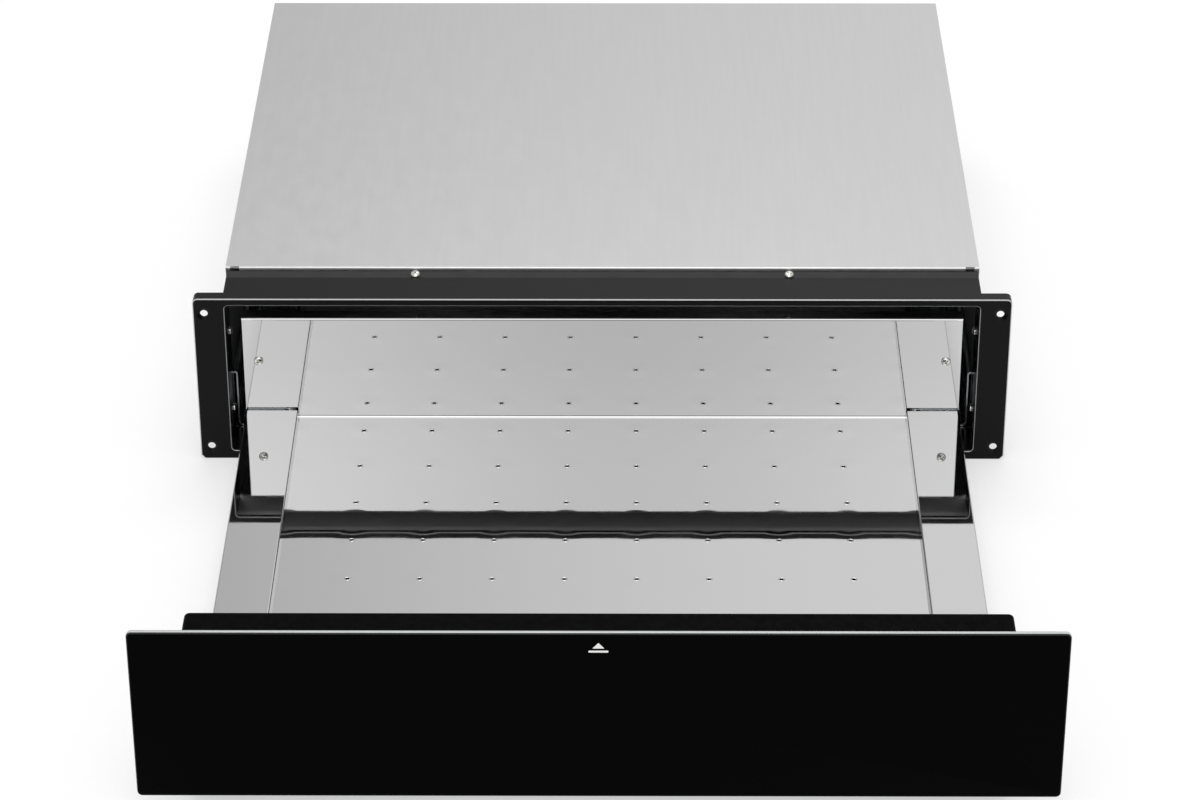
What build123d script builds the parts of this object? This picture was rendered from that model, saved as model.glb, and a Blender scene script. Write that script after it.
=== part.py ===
from build123d import *
import os
from math import atan2, cos, sin

os.makedirs("parts", exist_ok=True)

# Built-in warming drawer, shown as it stands with the drawer pulled out to its stops.
# Millimetres. X runs to the right, Y from the front to the back, Z up.
# Y = 0 is the front plane of the cabinet that the frame seats on, Z = 0 the niche floor.

# ---------------------------------------------------------------- overall sizes
flange_width = 595.0         # front frame and glass
flange_height = 135.0
flange_depth = 10.0          # the frame's plate stands this far in front of the cabinet
ear_width = 21.0             # frame plate beyond the housing on each side
tray_depth = 406.3           # clear depth of the tray from the front box to the back wall
duct_depth = 60.0            # fan compartment behind the back wall
rear_clearance = 12.2        # closed drawer to the rear panel

# ---------------------------------------------------------------- sheets
sheet = 0.8                  # galvanised housing
sheet_gap = 0.05             # between parts that lie flat on each other
box_gap = 0.3                # front box to what is screwed on behind it
punch_depth = 6.0            # depth of a punch that goes clear through flat sheet
frame_sheet = 1.2            # painted front frame
tray_sheet = 0.8             # stainless tray
front_sheet = 1.0            # painted front box
rail_sheet = 1.2             # zinc plated runners

# ---------------------------------------------------------------- front frame
top_bar = 5.6
bottom_bar = 7.0
collar_depth = 24.0          # collar behind the cabinet plane
collar_step = 0.5            # collar top below the flange top
opening_radius = 3.0
flange_corner = 3.0          # cut-off lower corners, and the radius behind all four
flange_radius = 4.0          # upper corners
plate_edge = 0.7             # dressed outer edge of the plate
opening_edge = 0.5           # dressed front edge of the opening
inner_return = 8.0           # folded edge behind the top bar
strip_run = 6.3              # sloping strip behind the collar, level length
strip_rise = 1.9
tab_screw_inset = 5.0        # side screws in front of the collar's rear edge
cabinet_hole_x = 8.1         # cabinet screw holes in from the flange's ends
cabinet_hole_z = 12.3        # and in from its top; the lower pair sits a little nearer
cabinet_hole_low = 10.7
cabinet_hole_radius = 2.8
dimple_radius = 5.4
dimple_depth = 0.8

# ---------------------------------------------------------------- housing
cover_step = 4.0             # cover above the flange top
side_flange = 12.0           # folded top edges of the housing sides
cover_bend = 1.0             # outside of the cover's bends
cover_gap = 1.0              # sloping strip to the cover's front
joggle = 6.0                 # cover's fastening flange under the sloping strip
joggle_end = 20.0            # that flange stops short of the collar's sides
floor_gap = 0.5              # housing's floor behind the collar
notch_width = 6.5
notch_depth = 1.5
notch_offset = 3.5
rear_flange = 14.0
tab_reach = 14.0             # tabs of the sides that lap the collar
upper_tab = (80.0, 106.0)
lower_tab = (16.0, 38.0)
cover_screw_x = 137.0
rear_screw_inset = 30.0      # cover's rear screws in from the housing's sides
rear_screw_drop = 8.4        # and below the cover
screw_head_radius = 3.4
screw_head_height = 2.0
screw_shank_radius = 1.75
screw_gap = 0.1              # shank to its hole
screw_head_taper = 30.0      # slope of the heads' sides, degrees
short_screw = 4.0
medium_screw = 5.0
long_screw = 6.0
flat_head_height = 1.5       # heads inside the hem of the cabinet rails
slot_length = 42.0
slot_width = 3.5
slot_space = 8.0
slot_columns = 2
slot_rows = 5
gland_inset = 51.5           # gland in from the housing's side
gland_z = 92.0
gland_hole_radius = 8.0
gland_bore_radius = 4.5
gland_flange_radius = 11.0
gland_length = 22.0
gland_head = 6.6             # part of that behind the panel
gland_gap = 0.2
gland_slope = 4.0            # degrees, neck
gland_head_slope = 15.0

# ---------------------------------------------------------------- drawer
runner_gap = 11.5            # collar to the tray on each side
tray_bend = 1.6              # bends at the foot and the top of the back wall
strip_bend = 1.2             # outside of the strips' bends
wall_edge = 1.0              # bends at the wall's ends
strip_top = 39.0
strip_width = 38.4
strip_skirt = 12.0
strip_rear_gap = 2.4
plate_recess = 6.7
lap_gap = 2.2                # drawer rail to the plate that runs on under each strip
wall_clearance = 13.9        # back wall top below the opening
wall_return = 12.0
wall_overhang = 0.5          # wall beyond the strips on each side
hole_pitch = 50.0
hole_radius = 1.6
hole_margin = 30.0           # solid edge of the floor beside and in front of the holes
first_row = 20.0             # first row of holes in front of the back wall
wall_screw_inset = 11.5
wall_screw_rise = 14.0       # wall screws above the push latch and its striker
wall_foot_gap = 0.6          # wall's foot over the drawer rails
bracket_inset = 1.0          # rear bracket in from the drawer rail's edge
bracket_gap = 0.3            # rear bracket to the wall's folded end
bracket_foot = 30.0
bracket_rise = 12.0          # bracket above its screw
pan_floor = 9.5
pan_inset = 2.6              # pan inside the strips' inner edges

# ---------------------------------------------------------------- front
glass_thickness = 4.0
glass_rise = 9.0             # glass bottom above the niche floor
glass_corner = 2.5
glass_edge = 0.5             # chamfer round the glass
glass_gap = 2.8              # closed glass to frame, the travel of the push latch
front_depth = 31.0
front_overhang = 1.5         # front box beyond the tray on each side
front_clearance = 2.3        # front box below the opening's top
front_floor = 9.5
front_corner = 4.0
bead = 1.0                   # silicone bead between glass and front box
bead_width = 8.0
front_flange = 12.0
buffer_radius = 4.0
buffer_height = 2.3
buffer_inset = 45.0          # buffers in from the glass's lower and upper edge
buffer_taper = 20.0
bead_inset = 2.0             # bead in from the front box's edge

# ---------------------------------------------------------------- runners
rail_setback = 2.0           # runners start behind the collar
rail_rear_space = 21.5
stop_length = 22.0           # overlap that the stops keep
rail_floor = 8.5
rail_edge_gap = 0.5          # drawer channel to the strip's skirt
channel_width = 28.0
channel_lip = 7.0
roller_radius = 2.0
roller_length = 7.0
roller_gap = 0.15            # play of the rollers between the rails
head_gap = 0.3               # screw heads in the rails' access holes
rail_start = 2.0             # drawer rails behind the front box
end_plate = 1.8
end_plate_low = 13.0
front_screw_z = 20.0
front_screw_space = 16.0
lip_gap = 0.4
middle_flange = 18.0
middle_web = 3.0
cage_width = 20.0
cage_thickness = 1.6
cage_window_gap = 0.3        # play of a roller in its window
cage_length = 215.0
cage_setback = 114.0         # closed cage behind the front end of the cabinet rail
cage_stagger = 1.0           # inner cages set back a little more
rollers_per_row = 3
roller_row_spacing = 10.0
leaf_top = 54.0
leaf_width = 4.4
curl_radius = 3.0
rail_screw_z = 46.0
rail_screws_per_side = 3

# ---------------------------------------------------------------- fan, heater, controls
fan_tip_gap = 10.2           # impeller to the box's top and floor
fan_width = 20.0
fan_blades = 16
blade_width = 12.0
blade_twist = 25.0           # degrees
fan_box_depth = 30.0
fan_box_drop = 4.0           # box below the tray's back wall
fan_ear_gap = 3.7            # the box's ears to the drawer rails
fan_hub_radius = 8.0
fan_hub_length = 10.0
fan_disc = 1.2
fan_blade = 1.0
fan_front_gap = 4.0          # tray wall to the impeller
fan_ear_rise = 2.0           # the box's ears above the strips
fan_shaft_hole = 9.0
inlets = 8
inlet_size = (5.0, 18.0)
inlet_ring = 0.93            # ring of inlets, share of the impeller's radius
shaft_radius = 3.0
shaft_gap = 0.1
shaft_play = 0.01            # rotor's shaft in the impeller
motor_width = 58.0
motor_height = 46.0
motor_stack = 16.0
motor_rise = 8.0             # stack's middle above the shaft
motor_gap = 6.0              # fan box to the stack
motor_wall = 10.0            # stack beside the coil's window
rotor_radius = 10.5
air_gap = 0.3
window_gap = 2.5             # rotor bore to the coil's window
window_height = 18.0
limb_width = 8.0
limb_play = 0.2
coil_gap = 1.0
coil_overhang = 4.0          # winding over each face of the stack
coil_corner = 3.0
shaft_end = 4.0              # shaft behind the stack
bridge_sheet = 1.5           # bearing bridges
bridge_height = 14.0
bridge_inset = 1.0
post_radius = 3.0
post_inset = 7.0
cutout_offset = 2.4          # cut-out beside the shaft, in impeller radii
cutout_flange = (30.0, 10.0)
cutout_sheet = 1.0
cutout_radius = 8.0
cutout_height = 9.0
cutout_tab = (0.8, 6.3)
cutout_tab_length = 8.0
cutout_tab_space = 4.5
element_radius = 3.2
element_bend = 14.0
element_rise = 1.0           # tube's axis above the middle of the space below the plate
element_runs = 4
element_pitch = 92.0
element_front_gap = 40.0
element_rear_gap = 30.0
element_tail = 6.0           # ends reach this far into the fan box
clip_gap = 0.1
clip_foot = 7.0
clip_length = 8.0
knob_radius = 13.0
knob_height = 13.0
knob_skirt = 4.0
knob_grip_width = 9.0
knob_gap = 1.0               # front box to the knob
knob_bore = 9.0
pointer_width = 1.6
pointer_length = 9.1
pointer_edge = 1.95
pointer_rise = 0.6
knob_inset = 26.0            # knob in from the pan's side
knob_z = 86.0
rocker_space = 50.0          # rocker switch beside the knob
rocker_width = 19.0
rocker_height = 11.0
rocker_tilt = 9.0
rocker_wall = 1.5
rocker_hole_gap = 0.2
rocker_depth = 16.0
rocker_well = 6.0
rocker_axle = 1.0
bezel = 2.0
bezel_edge = 3.5
switch_tab = (0.8, 4.8)
switch_tab_length = 6.0
switch_tab_space = 6.0
tab_root = 0.2               # tabs set into the switch
paddle_gap = 0.5
paddle_side_gap = 0.3
paddle_end = 1.5
paddle_high = 3.0
paddle_middle = 2.0
paddle_low = 3.0
lamp_space = 36.0            # pilot lamp beside the rocker switch
lamp_radius = 4.0
lamp_gap = 0.3
lamp_depth = 16.0
lamp_rim = 1.5
lamp_rim_rise = 1.2
lens_rise = 2.4
lens_taper = 35.0
thermostat_width = 34.0
thermostat_depth = 20.0
shaft_inside = 9.5           # shaft in the thermostat
shaft_well = 10.0
shaft_hole_gap = 1.0
nipple_radius = 4.0
nipple_length = 3.0
bulb_radius = 3.2
bulb_length = 70.0
bulb_space = 29.0            # pan's front to the bulb
capillary_radius = 1.0
capillary_gap = 1.0          # to its holes in sheet
capillary_z = 20.0
capillary_play = 0.1
capillary_seat = 1.0         # tube in the bulb
capillary_bend = 8.0
latch_width = 20.0
latch_height = 24.0
latch_depth = 38.0
latch_drop = 11.25           # below the middle of the wall over the strips
latch_shift = 1.0            # outward of the runner's middle
latch_plate = 3.0
latch_ear = 12.0             # plate beyond the body, above and below
latch_wall = 4.0
plunger_radius = 5.0
plunger_out = 14.0
plunger_inside = 16.0
plunger_chamfer = 1.5
striker_gap = 0.3
striker_half = 6.0           # half the width of the hat
striker_foot = 6.0
striker_height = 18.0

# ---------------------------------------------------------------- mains terminals
terminal_size = (20.0, 30.0, 34.0)
terminal_way = 4.0
terminal_pitch = 10.0
terminal_screw_radius = 2.2
terminal_screw_space = 7.0
terminal_screw_depth = 14.0

# ---------------------------------------------------------------- sides of small round things
shank_sides = 6              # screw shanks, the heating tube and the capillary
bore_sides = 8               # holes in sheet, screw heads, rollers
air_hole_sides = 6           # the tray's many small holes
disc_sides = 18              # impeller, rotor, knob and lamp

# ---------------------------------------------------------------- worked out from these
half_flange = flange_width / 2
half_housing = half_flange - ear_width
half_collar = half_housing - sheet
half_opening = half_collar - frame_sheet
half_tray = half_opening - runner_gap
half_plate = half_tray - strip_width
half_wall = half_tray + wall_overhang
half_front = half_tray + front_overhang
half_pan = half_plate - pan_inset
knob_x = half_pan - knob_inset
rocker_x = knob_x - rocker_space
lamp_x = rocker_x - lamp_space
gland_x = half_housing - gland_inset
opening_top = flange_height - top_bar
collar_top = flange_height - collar_step
cover_top = flange_height + cover_step
wall_top = opening_top - wall_clearance
latch_z = (strip_top + wall_top) / 2 - latch_drop
wall_screw_z = latch_z + wall_screw_rise
front_top = opening_top - front_clearance
plate_top = strip_top - plate_recess
plate_under = plate_top - tray_sheet
plate_lap = strip_width - tray_sheet - rail_edge_gap - channel_width - lap_gap

flange_front = -flange_depth
glass_back_closed = flange_front - glass_gap
wall_front_closed = glass_back_closed + front_depth + tray_depth
housing_depth = wall_front_closed + tray_sheet + duct_depth + rear_clearance
cover_front = collar_depth + strip_run + cover_gap
floor_front = collar_depth + floor_gap
rear_inner = housing_depth - 2 * sheet

rail_front = collar_depth + rail_setback
rail_length = housing_depth - rail_front - rail_rear_space
travel = rail_length - stop_length
glass_back = glass_back_closed - travel
glass_front = glass_back - glass_thickness
front_back = glass_back + front_depth
wall_front = wall_front_closed - travel
wall_back = wall_front + tray_sheet

print(f"drawer travel {travel:.1f}, middle rails {travel / 2:.1f}")
print(f"housing {2 * half_housing:.1f} x {housing_depth:.1f} x {cover_top:.1f}, runners {rail_length:.1f}")


def keep(builder, label):
    """Label a finished piece and write it under its own name."""
    builder.part.label = label
    export_step(builder.part, f"parts/{label}.step")


def upright(y):
    """Plane that faces the front at depth y; a negative extrusion runs to the back."""
    return Plane.XZ.offset(-y)


def folded(plane, points, thickness, side, bend=0.0):
    """Outline of a sheet folded along the given line, which itself is rounded where a bend is given."""
    with BuildSketch(plane) as outline:
        with BuildLine():
            if bend > 0:
                FilletPolyline(*points, radius=bend)
            else:
                Polyline(*points)
            offset(amount=thickness, side=side)
        make_face()
    return outline.sketch


def window(plane, low, high, radius=0.0):
    """Rectangle between two corners of a plane."""
    middle = ((low[0] + high[0]) / 2, (low[1] + high[1]) / 2)
    size = (high[0] - low[0], high[1] - low[1])
    with BuildSketch(plane) as outline:
        with Locations(middle):
            if radius > 0:
                RectangleRounded(*size, radius)
            else:
                Rectangle(*size)
    return outline.sketch


def pan_screw(length, head_height=screw_head_height):
    """Pan head screw along +Z, its head above Z = 0."""
    with BuildPart(mode=Mode.PRIVATE) as screw:
        with BuildSketch():
            RegularPolygon(screw_shank_radius, shank_sides)
        extrude(amount=-length)
        with BuildSketch():
            RegularPolygon(screw_head_radius, bore_sides)
        extrude(amount=head_height, taper=screw_head_taper)
    return screw.part


def bores(centres, radius=screw_shank_radius + screw_gap, depth=4.0):
    """Punch a hole at every location, clear through the sheets there."""
    with BuildPart(mode=Mode.PRIVATE) as punch:
        with BuildSketch():
            RegularPolygon(radius, bore_sides, major_radius=False)
        extrude(amount=depth / 2, both=True)
    with Locations(*centres):
        add(punch.part, mode=Mode.SUBTRACT)


def saddle(plane, middle, foot, axis, reach):
    """Strip bent over a tube: a foot on each side, two legs and a crown of three flats."""
    points = [(-reach - clip_foot, foot), (-reach, foot), (-reach, axis + reach / 2),
              (-reach / 2, axis + reach)]
    points += [(-across, up) for across, up in reversed(points)]
    with BuildSketch(plane) as outline:
        with BuildLine():
            Polyline(*[(middle + across, up) for across, up in points])
            offset(amount=sheet, side=Side.LEFT, kind=Kind.INTERSECTION)
        make_face()
    return outline.sketch


def facing(x, y, z, direction):
    """Location whose +Z axis points in the given direction."""
    return Plane(origin=(x, y, z), z_dir=direction).location


# ================================================================ front frame
cabinet_holes = [(side * (half_flange - cabinet_hole_x), height)
                 for side in (-1, 1)
                 for height in (cabinet_hole_low, flange_height - cabinet_hole_z)]
slope = atan2(strip_rise, strip_run)
strip_drop = frame_sheet / cos(slope)

with BuildPart() as front_frame:
    # plate, pressed as a shallow tray whose rim seats on the cabinet
    with BuildSketch(upright(flange_front)) as plate_outline:
        with Locations((0, flange_height / 2)):
            Rectangle(flange_width, flange_height)
        fillet(plate_outline.vertices().group_by(Axis.Y)[-1], flange_radius)
        chamfer(plate_outline.vertices().group_by(Axis.Y)[0], flange_corner)
    extrude(amount=-flange_depth)
    chamfer(front_frame.faces().sort_by(Axis.Y)[0].outer_wire().edges(), plate_edge)
    extrude(window(upright(flange_front + frame_sheet), (-half_flange + frame_sheet, frame_sheet),
                   (half_flange - frame_sheet, flange_height - frame_sheet),
                   flange_corner),
            amount=-flange_depth, mode=Mode.SUBTRACT)
    # collar that reaches into the niche
    with BuildSketch(upright(flange_front + frame_sheet)):
        with Locations((0, collar_top / 2)):
            Rectangle(2 * half_collar, collar_top)
            Rectangle(2 * half_opening, collar_top - 2 * frame_sheet, mode=Mode.SUBTRACT)
    extrude(amount=-(flange_depth - frame_sheet + collar_depth))
    # opening with its folded top edge and the full-depth sill below
    extrude(window(upright(flange_front), (-half_opening, bottom_bar), (half_opening, opening_top),
                   opening_radius), amount=-frame_sheet, mode=Mode.SUBTRACT)
    extrude(window(upright(flange_front), (-half_opening, opening_top),
                   (half_opening, opening_top + frame_sheet)), amount=-inner_return)
    extrude(window(upright(flange_front), (-half_opening, bottom_bar - frame_sheet),
                   (half_opening, bottom_bar)), amount=-(flange_depth + collar_depth))
    chamfer(front_frame.faces().sort_by(Axis.Y)[0].inner_wires().edges(), opening_edge)
    # sloping strip behind the collar, which clamps the cover
    with BuildSketch(Plane.YZ.offset(-half_collar)):
        with BuildLine():
            Polyline((collar_depth, collar_top), (collar_depth + strip_run, collar_top + strip_rise),
                     (collar_depth + strip_run, collar_top + strip_rise - strip_drop),
                     (collar_depth, collar_top - strip_drop), close=True)
        make_face()
    extrude(amount=2 * half_collar)
    # cabinet screw holes, each in a pressed dimple
    with BuildSketch(upright(flange_front + frame_sheet)):
        with Locations(*cabinet_holes):
            RegularPolygon(dimple_radius + frame_sheet, bore_sides)
    extrude(amount=-dimple_depth)
    with Locations(*[facing(x, flange_front, z, (0, -1, 0)) for x, z in cabinet_holes]):
        Cone(cabinet_hole_radius, dimple_radius, dimple_depth,
             align=(Align.CENTER, Align.CENTER, Align.MAX), mode=Mode.SUBTRACT)
    with Locations(*[facing(x, flange_front, z, (0, -1, 0)) for x, z in cabinet_holes]):
        Cylinder(cabinet_hole_radius, 8.0, mode=Mode.SUBTRACT)
    # holes for the cover screws and the side screws
    strip_normal = (0, -sin(slope), cos(slope))
    strip_middle = (collar_depth + strip_run / 2, collar_top + strip_rise / 2)
    cover_screw_spots = [facing(side * cover_screw_x, *strip_middle, strip_normal) for side in (-1, 1)]
    bores(cover_screw_spots)
    frame_screw_spots = [facing(side * half_opening, collar_depth - tab_screw_inset,
                                (tab[0] + tab[1]) / 2, (-side, 0, 0))
                         for side in (-1, 1) for tab in (lower_tab, upper_tab)]
    bores(frame_screw_spots, depth=punch_depth)
keep(front_frame, "front_frame")

with BuildPart() as frame_side_screws:
    with Locations(*frame_screw_spots):
        add(pan_screw(short_screw))
keep(frame_side_screws, "frame_side_screws")

# ================================================================ housing
rail_screw_y = [rail_front + rail_length * (0.5 + count) / rail_screws_per_side
                for count in range(rail_screws_per_side)]
leaf_inner = half_collar - leaf_width
rail_screw_spots = [facing(side * (half_collar - rail_sheet), y, rail_screw_z, (-side, 0, 0))
                    for side in (-1, 1) for y in rail_screw_y]

with BuildPart() as housing_base:
    tab_front = collar_depth - tab_reach
    edge = half_housing - side_flange
    roof = cover_top - sheet
    extrude(folded(upright(tab_front),
                   [(-edge, roof), (-half_housing, roof), (-half_housing, 0),
                    (half_housing, 0), (half_housing, roof), (edge, roof)],
                   sheet, Side.LEFT), amount=-(rear_inner + sheet - tab_front))
    # the sides reach past the cover as two tabs each, the floor stops behind the collar
    reach = 2 * half_housing + 10
    for low, high in ((-1.0, lower_tab[0]), (lower_tab[1], upper_tab[0]), (upper_tab[1], cover_top + 1)):
        extrude(window(Plane.YZ.offset(-reach / 2), (tab_front - 1, low), (floor_front, high)),
                amount=reach, mode=Mode.SUBTRACT)
    extrude(window(Plane.YZ.offset(-reach / 2), (tab_front - 1, upper_tab[1]),
                   (cover_front + sheet + box_gap, cover_top + 1)), amount=reach, mode=Mode.SUBTRACT)
    # upturned front edge of the floor under the sill
    extrude(window(upright(floor_front), (-half_collar, sheet / 2),
                   (half_collar, bottom_bar)), amount=-sheet)
    bores([facing(spot.position.X, spot.position.Y, spot.position.Z, (1, 0, 0))
           for spot in frame_screw_spots], depth=8.0)
    bores([facing(spot.position.X, spot.position.Y, spot.position.Z, (1, 0, 0))
           for spot in rail_screw_spots], depth=8.0)
keep(housing_base, "housing_base")

with BuildPart() as top_cover:
    under = collar_top + strip_rise + (cover_front - collar_depth - strip_run) * strip_rise / strip_run
    under = under - strip_drop - sheet_gap
    joggle_drop = joggle * strip_rise / strip_run
    extrude(folded(Plane.YZ.offset(-half_housing),
                   [(cover_front - joggle, under - joggle_drop), (cover_front, under),
                    (cover_front, cover_top), (housing_depth, cover_top),
                    (housing_depth, cover_top - rear_flange)],
                   sheet, Side.RIGHT, cover_bend), amount=2 * half_housing)
    # relief notches at the front corners, and the joggle flange kept inside the collar
    for side in (-1, 1):
        middle = side * (half_housing - notch_offset - notch_width / 2)
        with Locations((middle, cover_front, (cover_top + under) / 2)):
            Box(notch_width, 2 * notch_depth, cover_top - under + 1.0, mode=Mode.SUBTRACT)
        with Locations((side * half_collar, cover_front - joggle, under)):
            Box(2 * joggle_end, 2 * joggle, 2 * joggle_drop + 2.0, mode=Mode.SUBTRACT)
    bores(cover_screw_spots, depth=8.0)
    cover_rear_spots = [facing(side * (half_housing - rear_screw_inset), housing_depth,
                               cover_top - rear_screw_drop, (0, 1, 0)) for side in (-1, 1)]
    bores(cover_rear_spots, depth=punch_depth)
keep(top_cover, "top_cover")

with BuildPart() as cover_screws:
    with Locations(*cover_screw_spots):
        add(pan_screw(long_screw))
    with Locations(*cover_rear_spots):
        add(pan_screw(medium_screw))
keep(cover_screws, "cover_screws")

channel_middle = half_tray - tray_sheet - rail_edge_gap - channel_width / 2
latch_x = channel_middle + latch_shift
latch_front = rear_inner - latch_depth
plunger_tip = latch_front - plunger_out
latch_screw_spots = [facing(latch_x, rear_inner - latch_plate, latch_z + shift, (0, -1, 0))
                     for shift in (-(latch_height + latch_ear) / 2, (latch_height + latch_ear) / 2)]

with BuildPart() as rear_panel:
    panel_back = housing_depth - sheet
    inside = half_housing - sheet
    panel_floor = sheet
    panel_roof = cover_top - 2 * sheet
    extrude(window(upright(panel_back - side_flange), (-inside, panel_floor), (inside, panel_roof)),
            amount=-side_flange)
    extrude(window(upright(panel_back - side_flange), (-inside + sheet, panel_floor + sheet),
                   (inside - sheet, panel_roof - sheet)), amount=-(side_flange - sheet), mode=Mode.SUBTRACT)
    # two banks of air slots, the cable gland's hole, screw holes
    with BuildSketch(upright(panel_back + 1)):
        with Locations(*[(side * half_housing / 2, (panel_floor + panel_roof) / 2) for side in (-1, 1)]):
            with GridLocations(slot_length + slot_space, slot_width + slot_space, slot_columns, slot_rows):
                Rectangle(slot_length, slot_width)
    extrude(amount=4, mode=Mode.SUBTRACT)
    with Locations(facing(-gland_x, panel_back, gland_z, (0, 1, 0))):
        Cylinder(gland_hole_radius, punch_depth, mode=Mode.SUBTRACT)
    bores(cover_rear_spots, depth=10.0)
    bores(latch_screw_spots, depth=14.0)
keep(rear_panel, "rear_panel")

with BuildPart() as cable_gland:
    # bush in the panel: neck inside, flange outside, clear bore for the lead
    for radius, length, slant in ((gland_hole_radius - gland_gap, gland_length - gland_head, gland_slope),
                                  (gland_flange_radius, -gland_head, gland_head_slope)):
        with BuildSketch(upright(housing_depth + sheet_gap)):
            with Locations((-gland_x, gland_z)):
                RegularPolygon(radius, disc_sides)
        extrude(amount=length, taper=slant)
    with Locations(facing(-gland_x, housing_depth, gland_z, (0, 1, 0))):
        Cylinder(gland_bore_radius, 3 * gland_length, mode=Mode.SUBTRACT)
keep(cable_gland, "cable_gland")

# ================================================================ runners
channel_low = channel_middle - channel_width / 2
channel_high = channel_middle + channel_width / 2
roller_low_z = rail_floor + rail_sheet + roller_gap + roller_radius
flange_low_z = roller_low_z + roller_radius + roller_gap
channel_depth = flange_low_z - rail_floor + rail_sheet + lip_gap + rail_sheet
drawer_rail_top = strip_top - tray_sheet
roller_high_z = drawer_rail_top - rail_sheet - roller_gap - roller_radius
flange_high_z = roller_high_z - roller_radius - roller_gap
middle_front = rail_front - travel / 2
drawer_rail_front = front_back + rail_start
outer_cage_front = rail_front + cage_setback - travel / 4
inner_cage_front = rail_front + cage_setback + cage_stagger - travel * 3 / 4


def channel(base_z, up):
    """Channel section with lips, opening upwards (up = 1) or downwards (up = -1)."""
    low = channel_middle - channel_width / 2
    high = channel_middle + channel_width / 2
    rim = base_z + up * channel_depth
    points = [(low + channel_lip, rim), (low, rim), (low, base_z), (high, base_z), (high, rim),
              (high - channel_lip, rim)]
    return folded(upright(0), points, rail_sheet, Side.LEFT if up > 0 else Side.RIGHT)


def mirrored(side):
    """Keep the right-hand piece, or turn it into its left-hand twin."""
    if side == "left":
        mirror(about=Plane.YZ, mode=Mode.REPLACE)


for side in ("left", "right"):
    with BuildPart() as cabinet_rail:
        extrude(channel(rail_floor, 1), amount=-rail_length)
        # bracket leaf: curls up beside the channel, hems over and lies on the housing's side
        with BuildSketch(upright(0)):
            with BuildLine():
                hem = leaf_width / 2
                curl = Line((channel_high - rail_sheet, rail_floor), (leaf_inner - curl_radius, rail_floor))
                bend = JernArc(curl @ 1, curl % 1, curl_radius, 90)
                rise = Line(bend @ 1, (leaf_inner, leaf_top - hem))
                over = JernArc(rise @ 1, rise % 1, hem, -180)
                Line(over @ 1, (half_collar, lower_tab[0]))
                offset(amount=rail_sheet, side=Side.RIGHT)
            make_face()
        extrude(amount=-rail_length)
        add(Pos(0, rail_front, 0) * cabinet_rail.part, mode=Mode.REPLACE)
        right_spots = [spot for spot in rail_screw_spots if spot.position.X > 0]
        bores([facing(half_collar, spot.position.Y, spot.position.Z, (1, 0, 0)) for spot in right_spots])
        bores([facing(leaf_inner + rail_sheet / 2, spot.position.Y, spot.position.Z, (1, 0, 0))
               for spot in right_spots], screw_head_radius + head_gap, 1.5 * rail_sheet)
        mirrored(side)
    keep(cabinet_rail, f"cabinet_rail_{side}")

    with BuildPart() as middle_rail:
        # I section: two rolled flanges on a doubled web
        with BuildSketch(upright(middle_front)):
            with Locations((channel_middle, (flange_low_z + flange_high_z) / 2)):
                Rectangle(middle_web, flange_high_z - flange_low_z)
            with Locations((channel_middle, flange_low_z + rail_sheet / 2),
                           (channel_middle, flange_high_z - rail_sheet / 2)):
                Rectangle(middle_flange, rail_sheet)
        extrude(amount=-rail_length)
        mirrored(side)
    keep(middle_rail, f"middle_rail_{side}")

    with BuildPart() as drawer_rail:
        extrude(channel(drawer_rail_top, -1), amount=-(rail_length))
        add(Pos(0, drawer_rail_front, 0) * drawer_rail.part, mode=Mode.REPLACE)
        # end plate that carries the front box
        extrude(window(upright(front_back + box_gap), (channel_low, end_plate_low),
                       (channel_high, drawer_rail_top)), amount=-end_plate)
        front_screw_spots = [facing(channel_middle + shift, front_back - front_sheet, front_screw_z,
                                    (0, -1, 0))
                             for shift in (-front_screw_space / 2, front_screw_space / 2)]
        bores(front_screw_spots, depth=10.0)
        mirrored(side)
    keep(drawer_rail, f"drawer_rail_{side}")

    for cage_name, cage_front, level in (("outer", outer_cage_front, roller_low_z),
                                         ("inner", inner_cage_front, roller_high_z)):
        with BuildPart() as cage:
            # flat cage with a window for each roller
            with BuildSketch(Plane.XY.offset(level - cage_thickness / 2)):
                with Locations((channel_middle, cage_front + cage_length / 2)):
                    Rectangle(cage_width, cage_length)
                    with GridLocations(roller_row_spacing, cage_length / rollers_per_row,
                                       2, rollers_per_row):
                        Rectangle(roller_length + 2 * cage_window_gap,
                                  2 * (roller_radius + cage_window_gap), mode=Mode.SUBTRACT)
            extrude(amount=cage_thickness)
            mirrored(side)
        keep(cage, f"{cage_name}_cage_{side}")
        with BuildPart() as roller:
            with BuildSketch(Plane.YZ):
                RegularPolygon(roller_radius, bore_sides)
            extrude(amount=roller_length / 2, both=True)
        with BuildPart() as rollers:
            with Locations((channel_middle, cage_front + cage_length / 2, level)):
                with GridLocations(roller_row_spacing, cage_length / rollers_per_row,
                                   2, rollers_per_row):
                    add(roller.part)
            mirrored(side)
        keep(rollers, f"{cage_name}_rollers_{side}")

with BuildPart() as cabinet_rail_screws:
    with Locations(*rail_screw_spots):
        add(pan_screw(short_screw, flat_head_height))
keep(cabinet_rail_screws, "cabinet_rail_screws")

with BuildPart() as front_screws:
    with Locations(*front_screw_spots):
        add(pan_screw(medium_screw))
    mirror(about=Plane.YZ)
keep(front_screws, "front_screws")

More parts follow.
